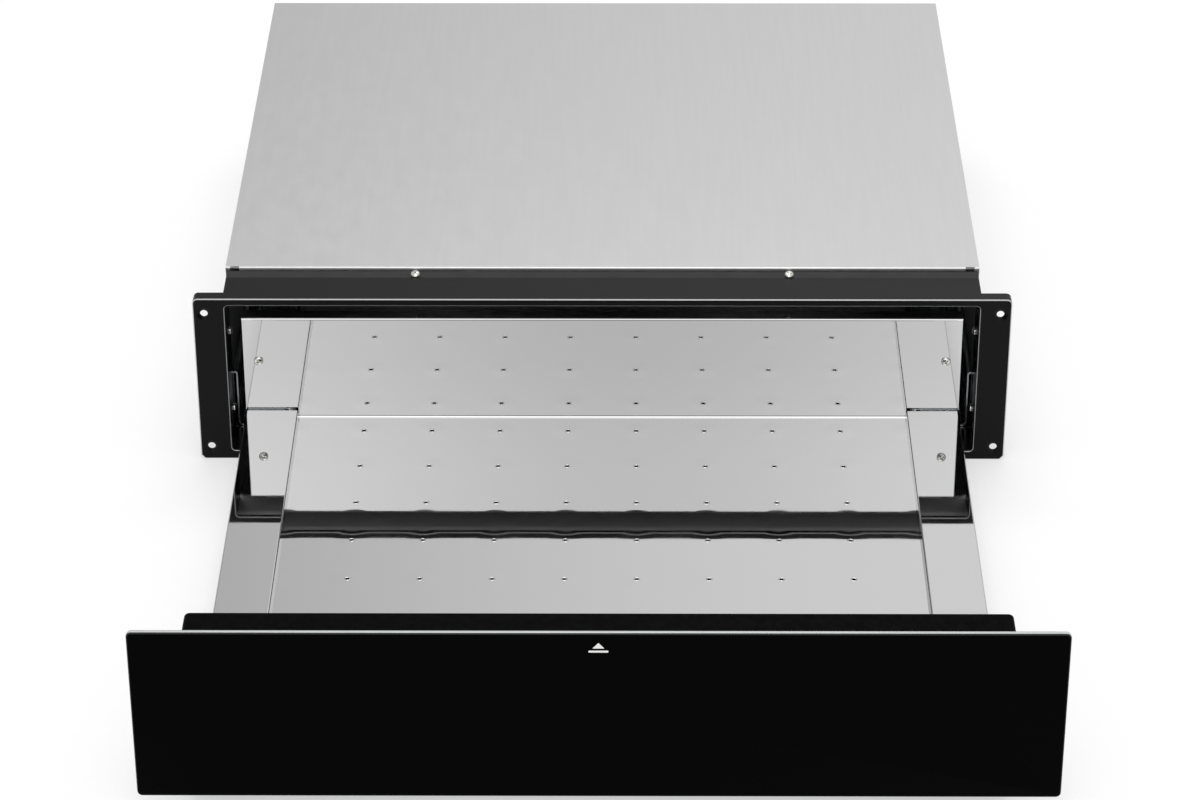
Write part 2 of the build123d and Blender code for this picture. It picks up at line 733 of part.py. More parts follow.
# ================================================================ tray
with BuildPart() as tray:
    # one sheet: perforated floor, back wall and the edge folded back at its top
    tray_line = [(front_back + box_gap, plate_top), (wall_front, plate_top), (wall_front, wall_top),
                 (wall_front + wall_return, wall_top)]
    extrude(folded(Plane.YZ.offset(-half_wall), tray_line, tray_sheet, Side.RIGHT, tray_bend),
            amount=2 * half_wall)
    for side in (-1, 1):
        outer = (half_plate + plate_lap, half_wall + 1)
        low, high = sorted((side * outer[0], side * outer[1]))
        extrude(window(Plane.XY.offset(plate_top - 5), (low, front_back - 1),
                       (high, wall_front + wall_return + 1)),
                amount=drawer_rail_top + wall_foot_gap - plate_top + 5, mode=Mode.SUBTRACT)
        # the wall's end, folded back like its top
        with BuildSketch(Plane.YZ.offset(side * half_wall)):
            with BuildLine():
                top = FilletPolyline((wall_front, strip_top), (wall_front, wall_top),
                                     (wall_front + wall_return, wall_top), radius=tray_bend)
                Polyline(top @ 1, (wall_front + wall_return, strip_top), top @ 0)
            make_face()
        extrude(amount=-side * tray_sheet)
    with BuildSketch(Plane.XY.offset(strip_top)):
        with Locations((0, wall_front + wall_return)):
            Rectangle(2 * half_wall + 2, 2 * wall_return)
            RectangleRounded(2 * half_wall, 2 * wall_return, wall_edge, mode=Mode.SUBTRACT)
    extrude(amount=wall_top - strip_top, mode=Mode.SUBTRACT)
    hole_columns = int((2 * half_plate - 2 * hole_margin) / hole_pitch) + 1
    hole_rows = int((tray_depth - first_row - hole_margin) / hole_pitch) + 1
    with BuildSketch(Plane.XY.offset(plate_top + 1)):
        with Locations((0, wall_front - first_row - hole_pitch * (hole_rows - 1) / 2)):
            with GridLocations(hole_pitch, hole_pitch, hole_columns, hole_rows):
                RegularPolygon(hole_radius, air_hole_sides)
    extrude(amount=-4, mode=Mode.SUBTRACT)
    wall_screw_spots = [facing(side * (half_wall - wall_screw_inset), wall_front, wall_screw_z, (0, -1, 0))
                        for side in (-1, 1)]
    bores(wall_screw_spots)
keep(tray, "tray")

for side in ("left", "right"):
    with BuildPart() as side_strip:
        line = [(half_plate, plate_top + sheet_gap), (half_plate, strip_top), (half_tray, strip_top),
                (half_tray, strip_top - strip_skirt)]
        extrude(folded(upright(front_back + box_gap), line, tray_sheet, Side.RIGHT, strip_bend),
                amount=-(tray_depth - box_gap - strip_rear_gap))
        mirrored(side)
    keep(side_strip, f"side_strip_{side}")

    with BuildPart() as rear_bracket:
        # angle that ties the back wall to the end of the drawer rail
        bracket_low = channel_low + bracket_inset
        bracket_high = half_wall - tray_sheet - bracket_gap
        line = [(wall_back + bracket_foot, drawer_rail_top), (wall_back, drawer_rail_top),
                (wall_back, wall_screw_z + bracket_rise)]
        extrude(folded(Plane.YZ.offset(bracket_low), line, rail_sheet, Side.RIGHT),
                amount=bracket_high - bracket_low)
        bores([facing(half_wall - wall_screw_inset, wall_back, wall_screw_z, (0, -1, 0))], depth=punch_depth)
        mirrored(side)
    keep(rear_bracket, f"rear_bracket_{side}")

with BuildPart() as wall_screws:
    with Locations(*wall_screw_spots):
        add(pan_screw(medium_screw))
keep(wall_screws, "wall_screws")

# ================================================================ hot air below the tray
pan_front = front_back + box_gap
pan_back = wall_back - box_gap
pan_top = plate_under
with BuildPart() as plenum_pan:
    extrude(window(Plane.XY.offset(pan_floor), (-half_pan, pan_front), (half_pan, pan_back)),
            amount=pan_top - pan_floor)
    extrude(window(Plane.XY.offset(pan_floor + sheet), (-half_pan + sheet, pan_front + sheet),
                   (half_pan - sheet, wall_back + 5)), amount=pan_top, mode=Mode.SUBTRACT)
    bores([facing(knob_x, pan_front, capillary_z, (0, 1, 0))], capillary_radius + capillary_gap)
keep(plenum_pan, "plenum_pan")

element_front = front_back + element_front_gap
element_rear = wall_front - element_rear_gap
element_z = (plate_under + pan_floor) / 2 + element_rise
with BuildPart() as heating_element:
    # tubular element folded to and fro between the clips, ends turned back into the fan box
    half_span = element_pitch * (element_runs - 1) / 2
    corners = []
    for run in range(element_runs):
        x = -half_span + run * element_pitch
        if run % 2 == 0:
            corners += [(x, element_rear, element_z), (x, element_front, element_z)]
        else:
            corners += [(x, element_front, element_z), (x, element_rear, element_z)]
    corners[0] = (corners[0][0], wall_back + element_tail, element_z)
    corners[-1] = (corners[-1][0], wall_back + element_tail, element_z)
    with BuildLine() as route:
        FilletPolyline(*corners, radius=element_bend)
    with BuildSketch(Plane(origin=route.wire() @ 0, z_dir=route.wire() % 0)):
        RegularPolygon(element_radius, shank_sides)
    sweep(path=route.wire())
keep(heating_element, "heating_element")

clip_inner = element_radius + clip_gap
clip_floor = pan_floor + sheet
with BuildPart() as clip:
    # saddle bent over the tube, one foot on each side
    extrude(saddle(upright(0), 0, clip_floor, element_z, clip_inner), amount=-clip_length)
with BuildPart() as element_clips:
    for run in range(element_runs):
        with Locations((-half_span + run * element_pitch, (element_front + element_rear) / 2, 0)):
            add(clip.part)
keep(element_clips, "element_clips")

box_back = wall_back + fan_box_depth
box_top = wall_top - fan_box_drop
fan_z = (pan_floor + box_top) / 2
fan_radius = (box_top - pan_floor) / 2 - sheet - fan_tip_gap
with BuildPart() as fan_box:
    # box behind the wall, open to the front and down into the pan
    extrude(window(upright(wall_back), (-half_pan, pan_floor), (half_pan, box_top)), amount=-fan_box_depth)
    extrude(window(upright(wall_back), (-half_pan + sheet, pan_floor + sheet),
                   (half_pan - sheet, box_top - sheet)), amount=-(fan_box_depth - sheet), mode=Mode.SUBTRACT)
    for side in (-1, 1):
        low, high = sorted((side * (half_pan - sheet), side * (channel_low - fan_ear_gap)))
        extrude(window(upright(wall_back), (low, strip_top + fan_ear_rise), (high, box_top)), amount=-sheet)
    # shaft hole and a ring of air inlets around the motor
    with BuildSketch(upright(box_back + 1)):
        with Locations((0, fan_z)):
            RegularPolygon(fan_shaft_hole, bore_sides)
            with PolarLocations(fan_radius * inlet_ring, inlets):
                Rectangle(*inlet_size)
    extrude(amount=4, mode=Mode.SUBTRACT)
keep(fan_box, "fan_box")

impeller_front = wall_back + fan_front_gap
with BuildPart() as fan_impeller:
    with BuildSketch(upright(impeller_front)):
        with Locations((0, fan_z)):
            RegularPolygon(fan_radius, disc_sides)
            Circle(shaft_radius, mode=Mode.SUBTRACT)
    extrude(amount=-fan_disc)
    with BuildSketch(upright(impeller_front + fan_disc)):
        with Locations((0, fan_z)):
            RegularPolygon(fan_hub_radius, bore_sides)
            Circle(shaft_radius, mode=Mode.SUBTRACT)
    extrude(amount=-fan_hub_length)
    with BuildSketch(upright(impeller_front + fan_blade)):
        with Locations((0, fan_z)):
            with PolarLocations(fan_radius - blade_width / 2 - 0.5, fan_blades):
                Rectangle(blade_width, fan_blade, rotation=blade_twist)
    extrude(amount=-(fan_width - fan_blade))
    with BuildSketch(upright(impeller_front + fan_width - fan_blade)):
        with Locations((0, fan_z)):
            RegularPolygon(fan_radius, disc_sides)
            RegularPolygon(fan_radius - blade_width / 2, disc_sides, mode=Mode.SUBTRACT)
    extrude(amount=-fan_blade)
keep(fan_impeller, "fan_impeller")

stack_front = box_back + motor_gap
with BuildPart() as fan_rotor:
    # steel shaft with the squirrel cage rotor
    with BuildSketch(upright(impeller_front)):
        with Locations((0, fan_z)):
            Circle(shaft_radius - shaft_play)
    extrude(amount=-(stack_front + motor_stack + shaft_end - impeller_front))
    with BuildSketch(upright(stack_front)):
        with Locations((0, fan_z)):
            RegularPolygon(rotor_radius, disc_sides)
    extrude(amount=-motor_stack)
keep(fan_rotor, "fan_rotor")

window_low = fan_z + rotor_radius + window_gap
with BuildPart() as motor_stator:
    # shaded pole stack: round rotor bore below, coil window with its limb above
    with BuildSketch(upright(stack_front)):
        with Locations((0, fan_z + motor_rise)):
            Rectangle(motor_height, motor_width)
        with Locations((0, window_low + window_height / 2)):
            Rectangle(motor_height - 2 * motor_wall, window_height, mode=Mode.SUBTRACT)
            Rectangle(limb_width, window_height)
        with Locations((0, fan_z)):
            Circle(rotor_radius + air_gap, mode=Mode.SUBTRACT)
    extrude(amount=-motor_stack)
keep(motor_stator, "motor_stator")

with BuildPart() as motor_coil:
    # winding round the limb of the stack
    with BuildSketch(Plane.XY.offset(window_low + coil_gap)):
        with Locations((0, stack_front + motor_stack / 2)):
            RectangleRounded(motor_height - 2 * motor_wall - coil_gap, motor_stack + 2 * coil_overhang,
                             coil_corner)
            Rectangle(limb_width + 2 * limb_play, motor_stack + 2 * limb_play, mode=Mode.SUBTRACT)
    extrude(amount=window_height - 2 * coil_gap)
keep(motor_coil, "motor_coil")

with BuildPart() as motor_brackets:
    # bearing bridges in front of and behind the stack
    for face in (stack_front - bridge_sheet, stack_front + motor_stack):
        with BuildSketch(upright(face)):
            with Locations((0, fan_z)):
                Rectangle(motor_height - 2 * bridge_inset, bridge_height)
                RegularPolygon(shaft_radius + shaft_gap, bore_sides, major_radius=False, mode=Mode.SUBTRACT)
        extrude(amount=-bridge_sheet)
    for side in (-1, 1):
        with BuildSketch(upright(box_back)):
            with Locations((side * (motor_height / 2 - post_inset), fan_z)):
                RegularPolygon(post_radius, bore_sides)
        extrude(amount=-(motor_gap - bridge_sheet))
keep(motor_brackets, "motor_brackets")

with BuildPart() as thermal_cutout:
    # snap disc cut-out with its two blade terminals
    cutout_x = fan_radius * cutout_offset
    with BuildSketch(upright(box_back)):
        with Locations((cutout_x, fan_z)):
            Rectangle(*cutout_flange)
    extrude(amount=-cutout_sheet)
    with BuildSketch(upright(box_back + cutout_sheet)):
        with Locations((cutout_x, fan_z)):
            RegularPolygon(cutout_radius, disc_sides)
    extrude(amount=-cutout_height)
    with BuildSketch(upright(box_back + cutout_sheet + cutout_height)):
        with Locations((cutout_x - cutout_tab_space, fan_z), (cutout_x + cutout_tab_space, fan_z)):
            Rectangle(*cutout_tab)
    extrude(amount=-cutout_tab_length)
keep(thermal_cutout, "thermal_cutout")

# ================================================================ front box and glass
box_front = glass_back + bead
with BuildPart() as sub_front:
    with BuildSketch(upright(box_front)):
        with Locations((0, (front_floor + front_top) / 2)):
            RectangleRounded(2 * half_front, front_top - front_floor, front_corner)
    extrude(amount=-(front_back - box_front))
    with BuildSketch(upright(box_front + front_sheet)):
        with Locations((0, (front_floor + front_top) / 2)):
            RectangleRounded(2 * (half_front - front_sheet), front_top - front_floor - 2 * front_sheet,
                             front_corner - front_sheet)
    extrude(amount=-(front_back - box_front - 2 * front_sheet), mode=Mode.SUBTRACT)
    extrude(window(upright(box_front), (-half_front + front_flange, front_floor + front_flange),
                   (half_front - front_flange, front_top - front_flange)),
            amount=-front_sheet, mode=Mode.SUBTRACT)
    # cut-outs in the inner face for the controls, the capillary and the runner screws
    with BuildSketch(upright(front_back + 1)):
        with Locations((knob_x, knob_z)):
            RegularPolygon(shaft_radius + shaft_hole_gap, bore_sides)
        with Locations((lamp_x, knob_z)):
            RegularPolygon(lamp_radius + lamp_gap, bore_sides, major_radius=False)
        with Locations((rocker_x, knob_z)):
            Rectangle(rocker_width + 2 * (rocker_wall + rocker_hole_gap),
                      rocker_height + 2 * (rocker_wall + rocker_hole_gap))
        with Locations((knob_x, capillary_z)):
            RegularPolygon(capillary_radius + capillary_gap, bore_sides)
        with Locations(*[(side * spot.position.X, spot.position.Z)
                         for spot in front_screw_spots for side in (-1, 1)]):
            RegularPolygon(screw_shank_radius + screw_gap, bore_sides, major_radius=False)
    extrude(amount=front_sheet + 1.5, mode=Mode.SUBTRACT)
keep(sub_front, "sub_front")

with BuildPart() as glass_panel:
    with BuildSketch(upright(glass_front)):
        with Locations((0, (glass_rise + flange_height) / 2)):
            RectangleRounded(flange_width, flange_height - glass_rise, glass_corner)
    extrude(amount=-glass_thickness)
    chamfer(glass_panel.edges().group_by(Axis.Y)[0], glass_edge)
keep(glass_panel, "glass_panel")

with BuildPart() as glass_adhesive:
    # silicone bead that bonds the glass to the front box
    bead_long = 2 * (half_front - bead_inset)
    bead_high = front_top - front_floor - 2 * bead_inset
    with BuildSketch(upright(glass_back)):
        with Locations((0, (front_floor + front_top) / 2)):
            Rectangle(bead_long, bead_high)
            Rectangle(bead_long - 2 * bead_width, bead_high - 2 * bead_width, mode=Mode.SUBTRACT)
    extrude(amount=-bead)
keep(glass_adhesive, "glass_adhesive")

with BuildPart() as front_buffers:
    # soft stops behind the corners of the glass, opposite the frame's ears
    with BuildSketch(upright(glass_back)):
        with Locations(*[(side * (half_flange + half_opening) / 2, z) for side in (-1, 1)
                         for z in (glass_rise + buffer_inset, flange_height - buffer_inset)]):
            RegularPolygon(buffer_radius, bore_sides)
    extrude(amount=-buffer_height, taper=-buffer_taper)
keep(front_buffers, "front_buffers")

# ================================================================ controls on the inner face
with BuildPart() as thermostat:
    with BuildSketch(upright(front_back - front_sheet - thermostat_depth)):
        with Locations((knob_x, knob_z)):
            Rectangle(thermostat_width, thermostat_width)
    extrude(amount=-thermostat_depth)
    with BuildSketch(upright(front_back - front_sheet - shaft_well)):
        with Locations((knob_x, knob_z)):
            Circle(shaft_radius + shaft_gap)
    extrude(amount=-(shaft_well + 1), mode=Mode.SUBTRACT)
    with BuildSketch(Plane.XY.offset(knob_z - thermostat_width / 2)):
        with Locations((knob_x, front_back - front_sheet - thermostat_depth / 2)):
            RegularPolygon(nipple_radius, bore_sides)
            RegularPolygon(capillary_radius + capillary_play, bore_sides, mode=Mode.SUBTRACT)
    extrude(amount=-nipple_length)
keep(thermostat, "thermostat")

with BuildPart() as thermostat_shaft:
    with BuildSketch(upright(front_back - front_sheet - shaft_inside)):
        with Locations((knob_x, knob_z)):
            Circle(shaft_radius)
    extrude(amount=-(shaft_inside + front_sheet + knob_gap + knob_bore))
keep(thermostat_shaft, "thermostat_shaft")

with BuildPart() as thermostat_knob:
    # round skirt with a bar grip and a raised pointer, pushed on to the shaft
    with BuildSketch(upright(front_back + knob_gap)):
        with Locations((knob_x, knob_z)):
            RegularPolygon(knob_radius, disc_sides)
    extrude(amount=-knob_skirt)
    with BuildSketch(upright(front_back + knob_gap)):
        with Locations((knob_x, knob_z)):
            Rectangle(knob_grip_width, 2 * knob_radius - knob_grip_width / 2)
    extrude(amount=-knob_height)
    with BuildSketch(upright(front_back + knob_gap)):
        with Locations((knob_x, knob_z)):
            Circle(shaft_radius)
    extrude(amount=-knob_bore, mode=Mode.SUBTRACT)
    with BuildSketch(upright(front_back + knob_gap + knob_height)):
        with Locations((knob_x, knob_z + knob_radius - pointer_edge - pointer_length / 2)):
            Rectangle(pointer_width, pointer_length)
    extrude(amount=-pointer_rise)
keep(thermostat_knob, "thermostat_knob")

with BuildPart() as rocker_switch:
    with BuildSketch(upright(front_back)):
        with Locations((rocker_x, knob_z)):
            Rectangle(rocker_width + 2 * bezel_edge, rocker_height + 2 * bezel_edge)
    extrude(amount=-bezel)
    with BuildSketch(upright(front_back - rocker_depth)):
        with Locations((rocker_x, knob_z)):
            Rectangle(rocker_width + 2 * rocker_wall, rocker_height + 2 * rocker_wall)
    extrude(amount=-rocker_depth)
    with BuildSketch(upright(front_back - rocker_well)):
        with Locations((rocker_x, knob_z)):
            Rectangle(rocker_width, rocker_height)
    extrude(amount=-(rocker_well + 2 * bezel), mode=Mode.SUBTRACT)
    with BuildSketch(upright(front_back - rocker_depth - switch_tab_length)):
        with Locations(*[(rocker_x + shift, knob_z) for shift in (-switch_tab_space, 0, switch_tab_space)]):
            Rectangle(*switch_tab)
    extrude(amount=-(switch_tab_length + tab_root))
    # axle that the rocker turns on
    with Locations((rocker_x, front_back, knob_z)):
        Cylinder(rocker_axle, rocker_height)
keep(rocker_switch, "rocker_switch")

with BuildPart() as switch_rocker:
    # paddle with its two faces set at an angle, at rest on its off side
    half_paddle = rocker_width / 2 - paddle_gap
    paddle_foot = knob_z - rocker_height / 2 + paddle_side_gap
    with BuildSketch(Plane(origin=(rocker_x, front_back, paddle_foot))):
        with BuildLine():
            Polyline((-half_paddle, -paddle_end), (-half_paddle, paddle_high), (0, paddle_middle),
                     (half_paddle, paddle_high), (half_paddle, -paddle_end), (0, -paddle_low), close=True)
        make_face()
        Circle(rocker_axle + shaft_gap, mode=Mode.SUBTRACT)
    extrude(amount=rocker_height - 2 * paddle_side_gap)
with BuildPart() as tilted_rocker:
    add(switch_rocker.part.rotate(Axis((rocker_x, front_back, 0), (0, 0, 1)), -rocker_tilt))
keep(tilted_rocker, "switch_rocker")

with BuildPart() as pilot_lamp:
    # barrel through the inner face, rim and faceted lens
    with BuildSketch(upright(front_back - lamp_depth)):
        with Locations((lamp_x, knob_z)):
            RegularPolygon(lamp_radius, bore_sides)
    extrude(amount=-lamp_depth)
    with BuildSketch(upright(front_back)):
        with Locations((lamp_x, knob_z)):
            RegularPolygon(lamp_radius + lamp_rim, disc_sides)
    extrude(amount=-lamp_rim_rise)
    with BuildSketch(upright(front_back + lamp_rim_rise)):
        with Locations((lamp_x, knob_z)):
            RegularPolygon(lamp_radius, disc_sides)
    extrude(amount=-lens_rise, taper=lens_taper)
keep(pilot_lamp, "pilot_lamp")

with BuildPart() as capillary_bulb:
    # capillary from the thermostat down and back to the sensing bulb below the tray
    with BuildLine() as capillary_route:
        start_y = front_back - front_sheet - thermostat_depth / 2
        start_z = knob_z - thermostat_width / 2 - capillary_play
        FilletPolyline((knob_x, start_y, start_z), (knob_x, start_y, capillary_z),
                       (knob_x, pan_front + bulb_space + capillary_seat, capillary_z), radius=capillary_bend)
    with BuildSketch(Plane(origin=capillary_route.wire() @ 0, z_dir=capillary_route.wire() % 0)):
        RegularPolygon(capillary_radius, shank_sides)
    sweep(path=capillary_route.wire())
    with BuildSketch(upright(pan_front + bulb_space)):
        with Locations((knob_x, capillary_z)):
            RegularPolygon(bulb_radius, bore_sides)
    extrude(amount=-bulb_length)
keep(capillary_bulb, "capillary_bulb")

with BuildPart() as bulb_clip:
    # strap that holds the bulb to the pan floor
    clip_front = pan_front + bulb_space + (bulb_length - clip_length) / 2
    extrude(saddle(upright(clip_front), knob_x, clip_floor, capillary_z, bulb_radius + clip_gap),
            amount=-clip_length)
keep(bulb_clip, "bulb_clip")

# ================================================================ push latch and mains terminals
with BuildPart() as latch_body:
    extrude(window(upright(latch_front), (latch_x - latch_width / 2, latch_z - latch_height / 2),
                   (latch_x + latch_width / 2, latch_z + latch_height / 2)), amount=-latch_depth)
    half_plate_height = latch_height / 2 + latch_ear
    extrude(window(upright(rear_inner - latch_plate),
                   (latch_x - latch_width / 2, latch_z - half_plate_height),
                   (latch_x + latch_width / 2, latch_z + half_plate_height)), amount=-latch_plate)
    with BuildSketch(upright(latch_front)):
        with Locations((latch_x, latch_z)):
            Circle(plunger_radius + shaft_gap)
    extrude(amount=-(latch_depth - latch_wall), mode=Mode.SUBTRACT)
    bores(latch_screw_spots, depth=10.0)
keep(latch_body, "latch_body")

with BuildPart() as latch_plunger:
    with BuildSketch(upright(plunger_tip)):
        with Locations((latch_x, latch_z)):
            Circle(plunger_radius)
    extrude(amount=-(plunger_out + plunger_inside))
    chamfer(latch_plunger.faces().sort_by(Axis.Y)[0].edges(), plunger_chamfer)
keep(latch_plunger, "latch_plunger")

with BuildPart() as latch_screws:
    with Locations(*latch_screw_spots):
        add(pan_screw(long_screw))
keep(latch_screws, "latch_screws")

with BuildPart() as latch_striker:
    # hat section on the right-hand rear bracket that meets the plunger
    leg_back = wall_back + rail_sheet
    striker_face = plunger_tip - travel - striker_gap
    hat_top = striker_face - rail_sheet
    line = [(latch_x - striker_half - striker_foot, leg_back), (latch_x - striker_half, leg_back),
            (latch_x - striker_half, hat_top), (latch_x + striker_half, hat_top),
            (latch_x + striker_half, leg_back), (latch_x + striker_half + striker_foot, leg_back)]
    extrude(folded(Plane.XY.offset(latch_z - striker_height / 2), line, rail_sheet, Side.LEFT),
            amount=striker_height)
keep(latch_striker, "latch_striker")

terminal_x = -(half_collar - terminal_size[0] / 2)
terminal_y = rear_inner - side_flange - terminal_size[1] / 2
with BuildPart() as terminal_block:
    # three way porcelain block on the housing's side
    ways = (-terminal_pitch, 0, terminal_pitch)
    with Locations((terminal_x, terminal_y, gland_z)):
        Box(*terminal_size)
        with Locations(*[(0, 0, shift) for shift in ways]):
            Box(terminal_way, terminal_size[1] + 2, terminal_way, mode=Mode.SUBTRACT)
    bores([facing(-half_collar + terminal_size[0], terminal_y + along, gland_z + shift, (1, 0, 0))
           for shift in ways for along in (-terminal_screw_space, terminal_screw_space)],
          terminal_screw_radius, terminal_screw_depth)
keep(terminal_block, "terminal_block")
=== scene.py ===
"""A built-in warming drawer: its finishes, glass front, fasteners and small parts, and the studio that it
stands in."""

import math

import bmesh
import bpy
import numpy as np
from bpy.props import FloatProperty, FloatVectorProperty, IntProperty, PointerProperty
from bpy.types import Operator, Panel, PropertyGroup
from mathutils import Matrix, Vector


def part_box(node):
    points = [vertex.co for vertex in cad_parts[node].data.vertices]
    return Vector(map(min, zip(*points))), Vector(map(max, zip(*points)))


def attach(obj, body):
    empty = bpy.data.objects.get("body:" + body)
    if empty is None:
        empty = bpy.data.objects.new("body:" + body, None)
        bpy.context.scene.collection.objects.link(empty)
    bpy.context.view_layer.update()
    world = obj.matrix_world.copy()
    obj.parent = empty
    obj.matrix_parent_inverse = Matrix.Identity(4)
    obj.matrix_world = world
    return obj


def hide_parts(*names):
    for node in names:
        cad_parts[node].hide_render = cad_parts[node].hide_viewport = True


bl_info = {
    "name": "Built-in Warming Drawer",
    "version": (1, 0, 0),
    "blender": (4, 5, 0),
    "location": "View3D > Sidebar > Drawer",
    "description": "Finishes and fine pieces of a built-in warming drawer",
    "category": "Object",
}

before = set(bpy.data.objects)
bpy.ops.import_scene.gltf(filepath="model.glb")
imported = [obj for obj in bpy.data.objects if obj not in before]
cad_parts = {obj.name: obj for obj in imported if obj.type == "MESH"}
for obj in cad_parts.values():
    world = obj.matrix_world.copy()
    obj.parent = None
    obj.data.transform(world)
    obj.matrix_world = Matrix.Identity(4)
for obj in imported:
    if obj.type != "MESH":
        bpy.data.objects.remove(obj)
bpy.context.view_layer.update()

MM = 0.001
SMALL_SIDES = 20             # facets round the rims of the holes and the rollers
NOISE_RANGE = (0.3, 0.7)     # where most of a noise texture lies


def linear(code):
    """An sRGB hex colour, such as #C8C9CA, as linear red, green, blue and alpha."""
    channels = [int(code[i:i + 2], 16) / 255 for i in (1, 3, 5)]
    return tuple(c / 12.92 if c <= 0.04045 else ((c + 0.055) / 1.055) ** 2.4 for c in channels) + (1.0,)


def colour(name, code, description):
    """A colour property whose default is an sRGB hex colour."""
    return FloatVectorProperty(name=name, description=description, subtype="COLOR", size=4,
                               min=0.0, max=1.0, default=linear(code))


def level(name, value, description):
    """A brightness property, where 1 is white."""
    return FloatProperty(name=name, description=description, min=0.0, default=value)


def length(name, value, description):
    """A length property whose default is given in millimetres."""
    return FloatProperty(name=name, description=description, unit="LENGTH", min=0.0, default=value * MM)


# ---------------------------------------------------------------- settings

class DrawerColours(PropertyGroup):
    galvanised: colour("Galvanised sheet", "#CBCBCB", "Zinc of the cover, base and rear panel")
    stainless: colour("Mirror stainless", "#CDCDCD", "Polished steel of the tray")
    zinc_plate: colour("Zinc plate", "#BFC3C6", "Bright zinc of the runners and brackets")
    frame_paint: colour("Frame paint", "#0A0A0B", "Baked paint of the front frame")
    front_paint: colour("Front box paint", "#040404", "Fine textured paint of the box behind the glass")
    glass: colour("Black glass", "#030303", "Black enamel seen through the glass")
    glass_edge: colour("Glass edge", "#BFC3C2", "Ground edge of the glass")
    mark: colour("Printed mark", "#E9E9E7", "White ceramic ink of the push mark")
    nickel: colour("Nickel plate", "#D6D5D1", "Nickel of the screws")
    moulded_black: colour("Black plastic", "#131314", "Heat resistant plastic of switch, knob and latch")
    acetal: colour("Acetal", "#D9D7CD", "Natural acetal of the roller cages")
    lens: colour("Lamp lens", "#B4140C", "Red lens of the pilot lamp")


class DrawerSizes(PropertyGroup):
    glass_bevel: length("Glass bevel", 0.8, "Polished bevel along the edges of the glass")
    glass_corner: length("Glass corner", 3.5, "Radius of the corners of the glass")
    mark_drop: length("Mark drop", 9.2, "Middle of the arrow below the top of the glass")
    mark_width: length("Arrow width", 7.4, "Width of the push arrow")
    mark_height: length("Arrow height", 4.0, "Height of the push arrow")
    bar_width: length("Bar width", 12.6, "Width of the bar under the arrow")
    rim_width: length("Rim width", 1.0, "Width of the pressed rim round each floor hole")
    rim_rise: length("Rim rise", 0.28, "Height of the pressed rim round each floor hole")
    thread_pitch: length("Thread pitch", 0.8, "Spacing of the threads of the screws")
    sides: IntProperty(name="Round sides", description="Facets around turned pieces", min=12, default=36)


class StudioSettings(PropertyGroup):
    back_left: level("Behind, left", 0.47, "Brightness of the room low behind the drawer, on the left")
    back_right: level("Behind, right", 0.97, "Brightness of the room low behind the drawer, on the right")
    front_middle: level("In front", 1.16, "Brightness of the room in front, straight ahead")
    front_panels: level("Front panels", 1.5, "Brightness of the two white panels in front")
    around: level("Around", 0.6, "Brightness of the room at the sides")
    above: level("Above", 0.8, "Brightness of the room overhead")
    upward: level("Upward", 1.15, "How much brighter the front gets a little above the camera's angle")
    softbox: level("Softbox", 1.3, "Brightness of the face of the long softbox overhead")
    rear_panel: level("Rear panel", 3.4, "Brightness of the face of the panel light above and behind")
    floor: colour("Floor", "#FDFDFD", "Paper that the drawer stands on")
    shadow_share: FloatProperty(name="Shadow share", min=0.0, max=1.0, default=0.5,
                                description="Share of the floor's look that the light gives")


def colours():
    """The colours as set in the panel."""
    return bpy.context.scene.drawer_colours


def sizes():
    """The sizes as set in the panel."""
    return bpy.context.scene.drawer_sizes


# ---------------------------------------------------------------- materials

def add_node(tree, kind, inputs=None, **settings):
    """Adds a node, gives it its settings, and fills its inputs with values or with links from sockets."""
    node = tree.nodes.new(kind)
    for name, value in settings.items():
        setattr(node, name, value)
    for name, value in (inputs or {}).items():
        if isinstance(value, bpy.types.NodeSocket):
            tree.links.new(value, node.inputs[name])
        else:
            node.inputs[name].default_value = value
    return node


def new_surface(name, values):
    """A material with the given constants on its shader. Returns the material, its tree and the shader."""
    material = bpy.data.materials.new(name)
    material.use_nodes = True
    tree = material.node_tree
    shader = tree.nodes["Principled BSDF"]
    for socket, value in values.items():
        shader.inputs[socket].default_value = value
    return material, tree, shader


def place_of(tree):
    """A point's place on its own piece, in metres, so that a pattern moves with the piece."""
    return add_node(tree, "ShaderNodeTexCoord").outputs["Object"]


def grain(tree, size, stretch=(1, 1, 1), detail=3.0):
    """Noise in patches of the given size in millimetres, drawn out by stretch along X, Y and Z."""
    scaled = add_node(tree, "ShaderNodeMapping", {
        "Vector": place_of(tree), "Scale": [1 / (size * MM * s) for s in stretch]})
    noise = add_node(tree, "ShaderNodeTexNoise", {
        "Vector": scaled.outputs["Vector"], "Scale": 1.0, "Detail": detail})
    return noise.outputs["Fac"]


def spread(tree, factor, low, high):
    """Takes a noise, most of which lies within NOISE_RANGE, to the range low to high."""
    mapped = add_node(tree, "ShaderNodeMapRange", {
        "Value": factor, "From Min": NOISE_RANGE[0], "From Max": NOISE_RANGE[1], "To Min": low,
        "To Max": high})
    return mapped.outputs["Result"]


def calculate(tree, operation, first, second=0.0):
    """The result of one operation on two numbers or sockets."""
    return add_node(tree, "ShaderNodeMath", {0: first, 1: second}, operation=operation).outputs[0]


def between(tree, value, start, end, low, high):
    """Goes smoothly from low to high, each a number or a socket, while a value goes from start to end."""
    return add_node(tree, "ShaderNodeMapRange", {
        "Value": value, "From Min": start, "From Max": end, "To Min": low, "To Max": high},
        interpolation_type="SMOOTHSTEP").outputs["Result"]


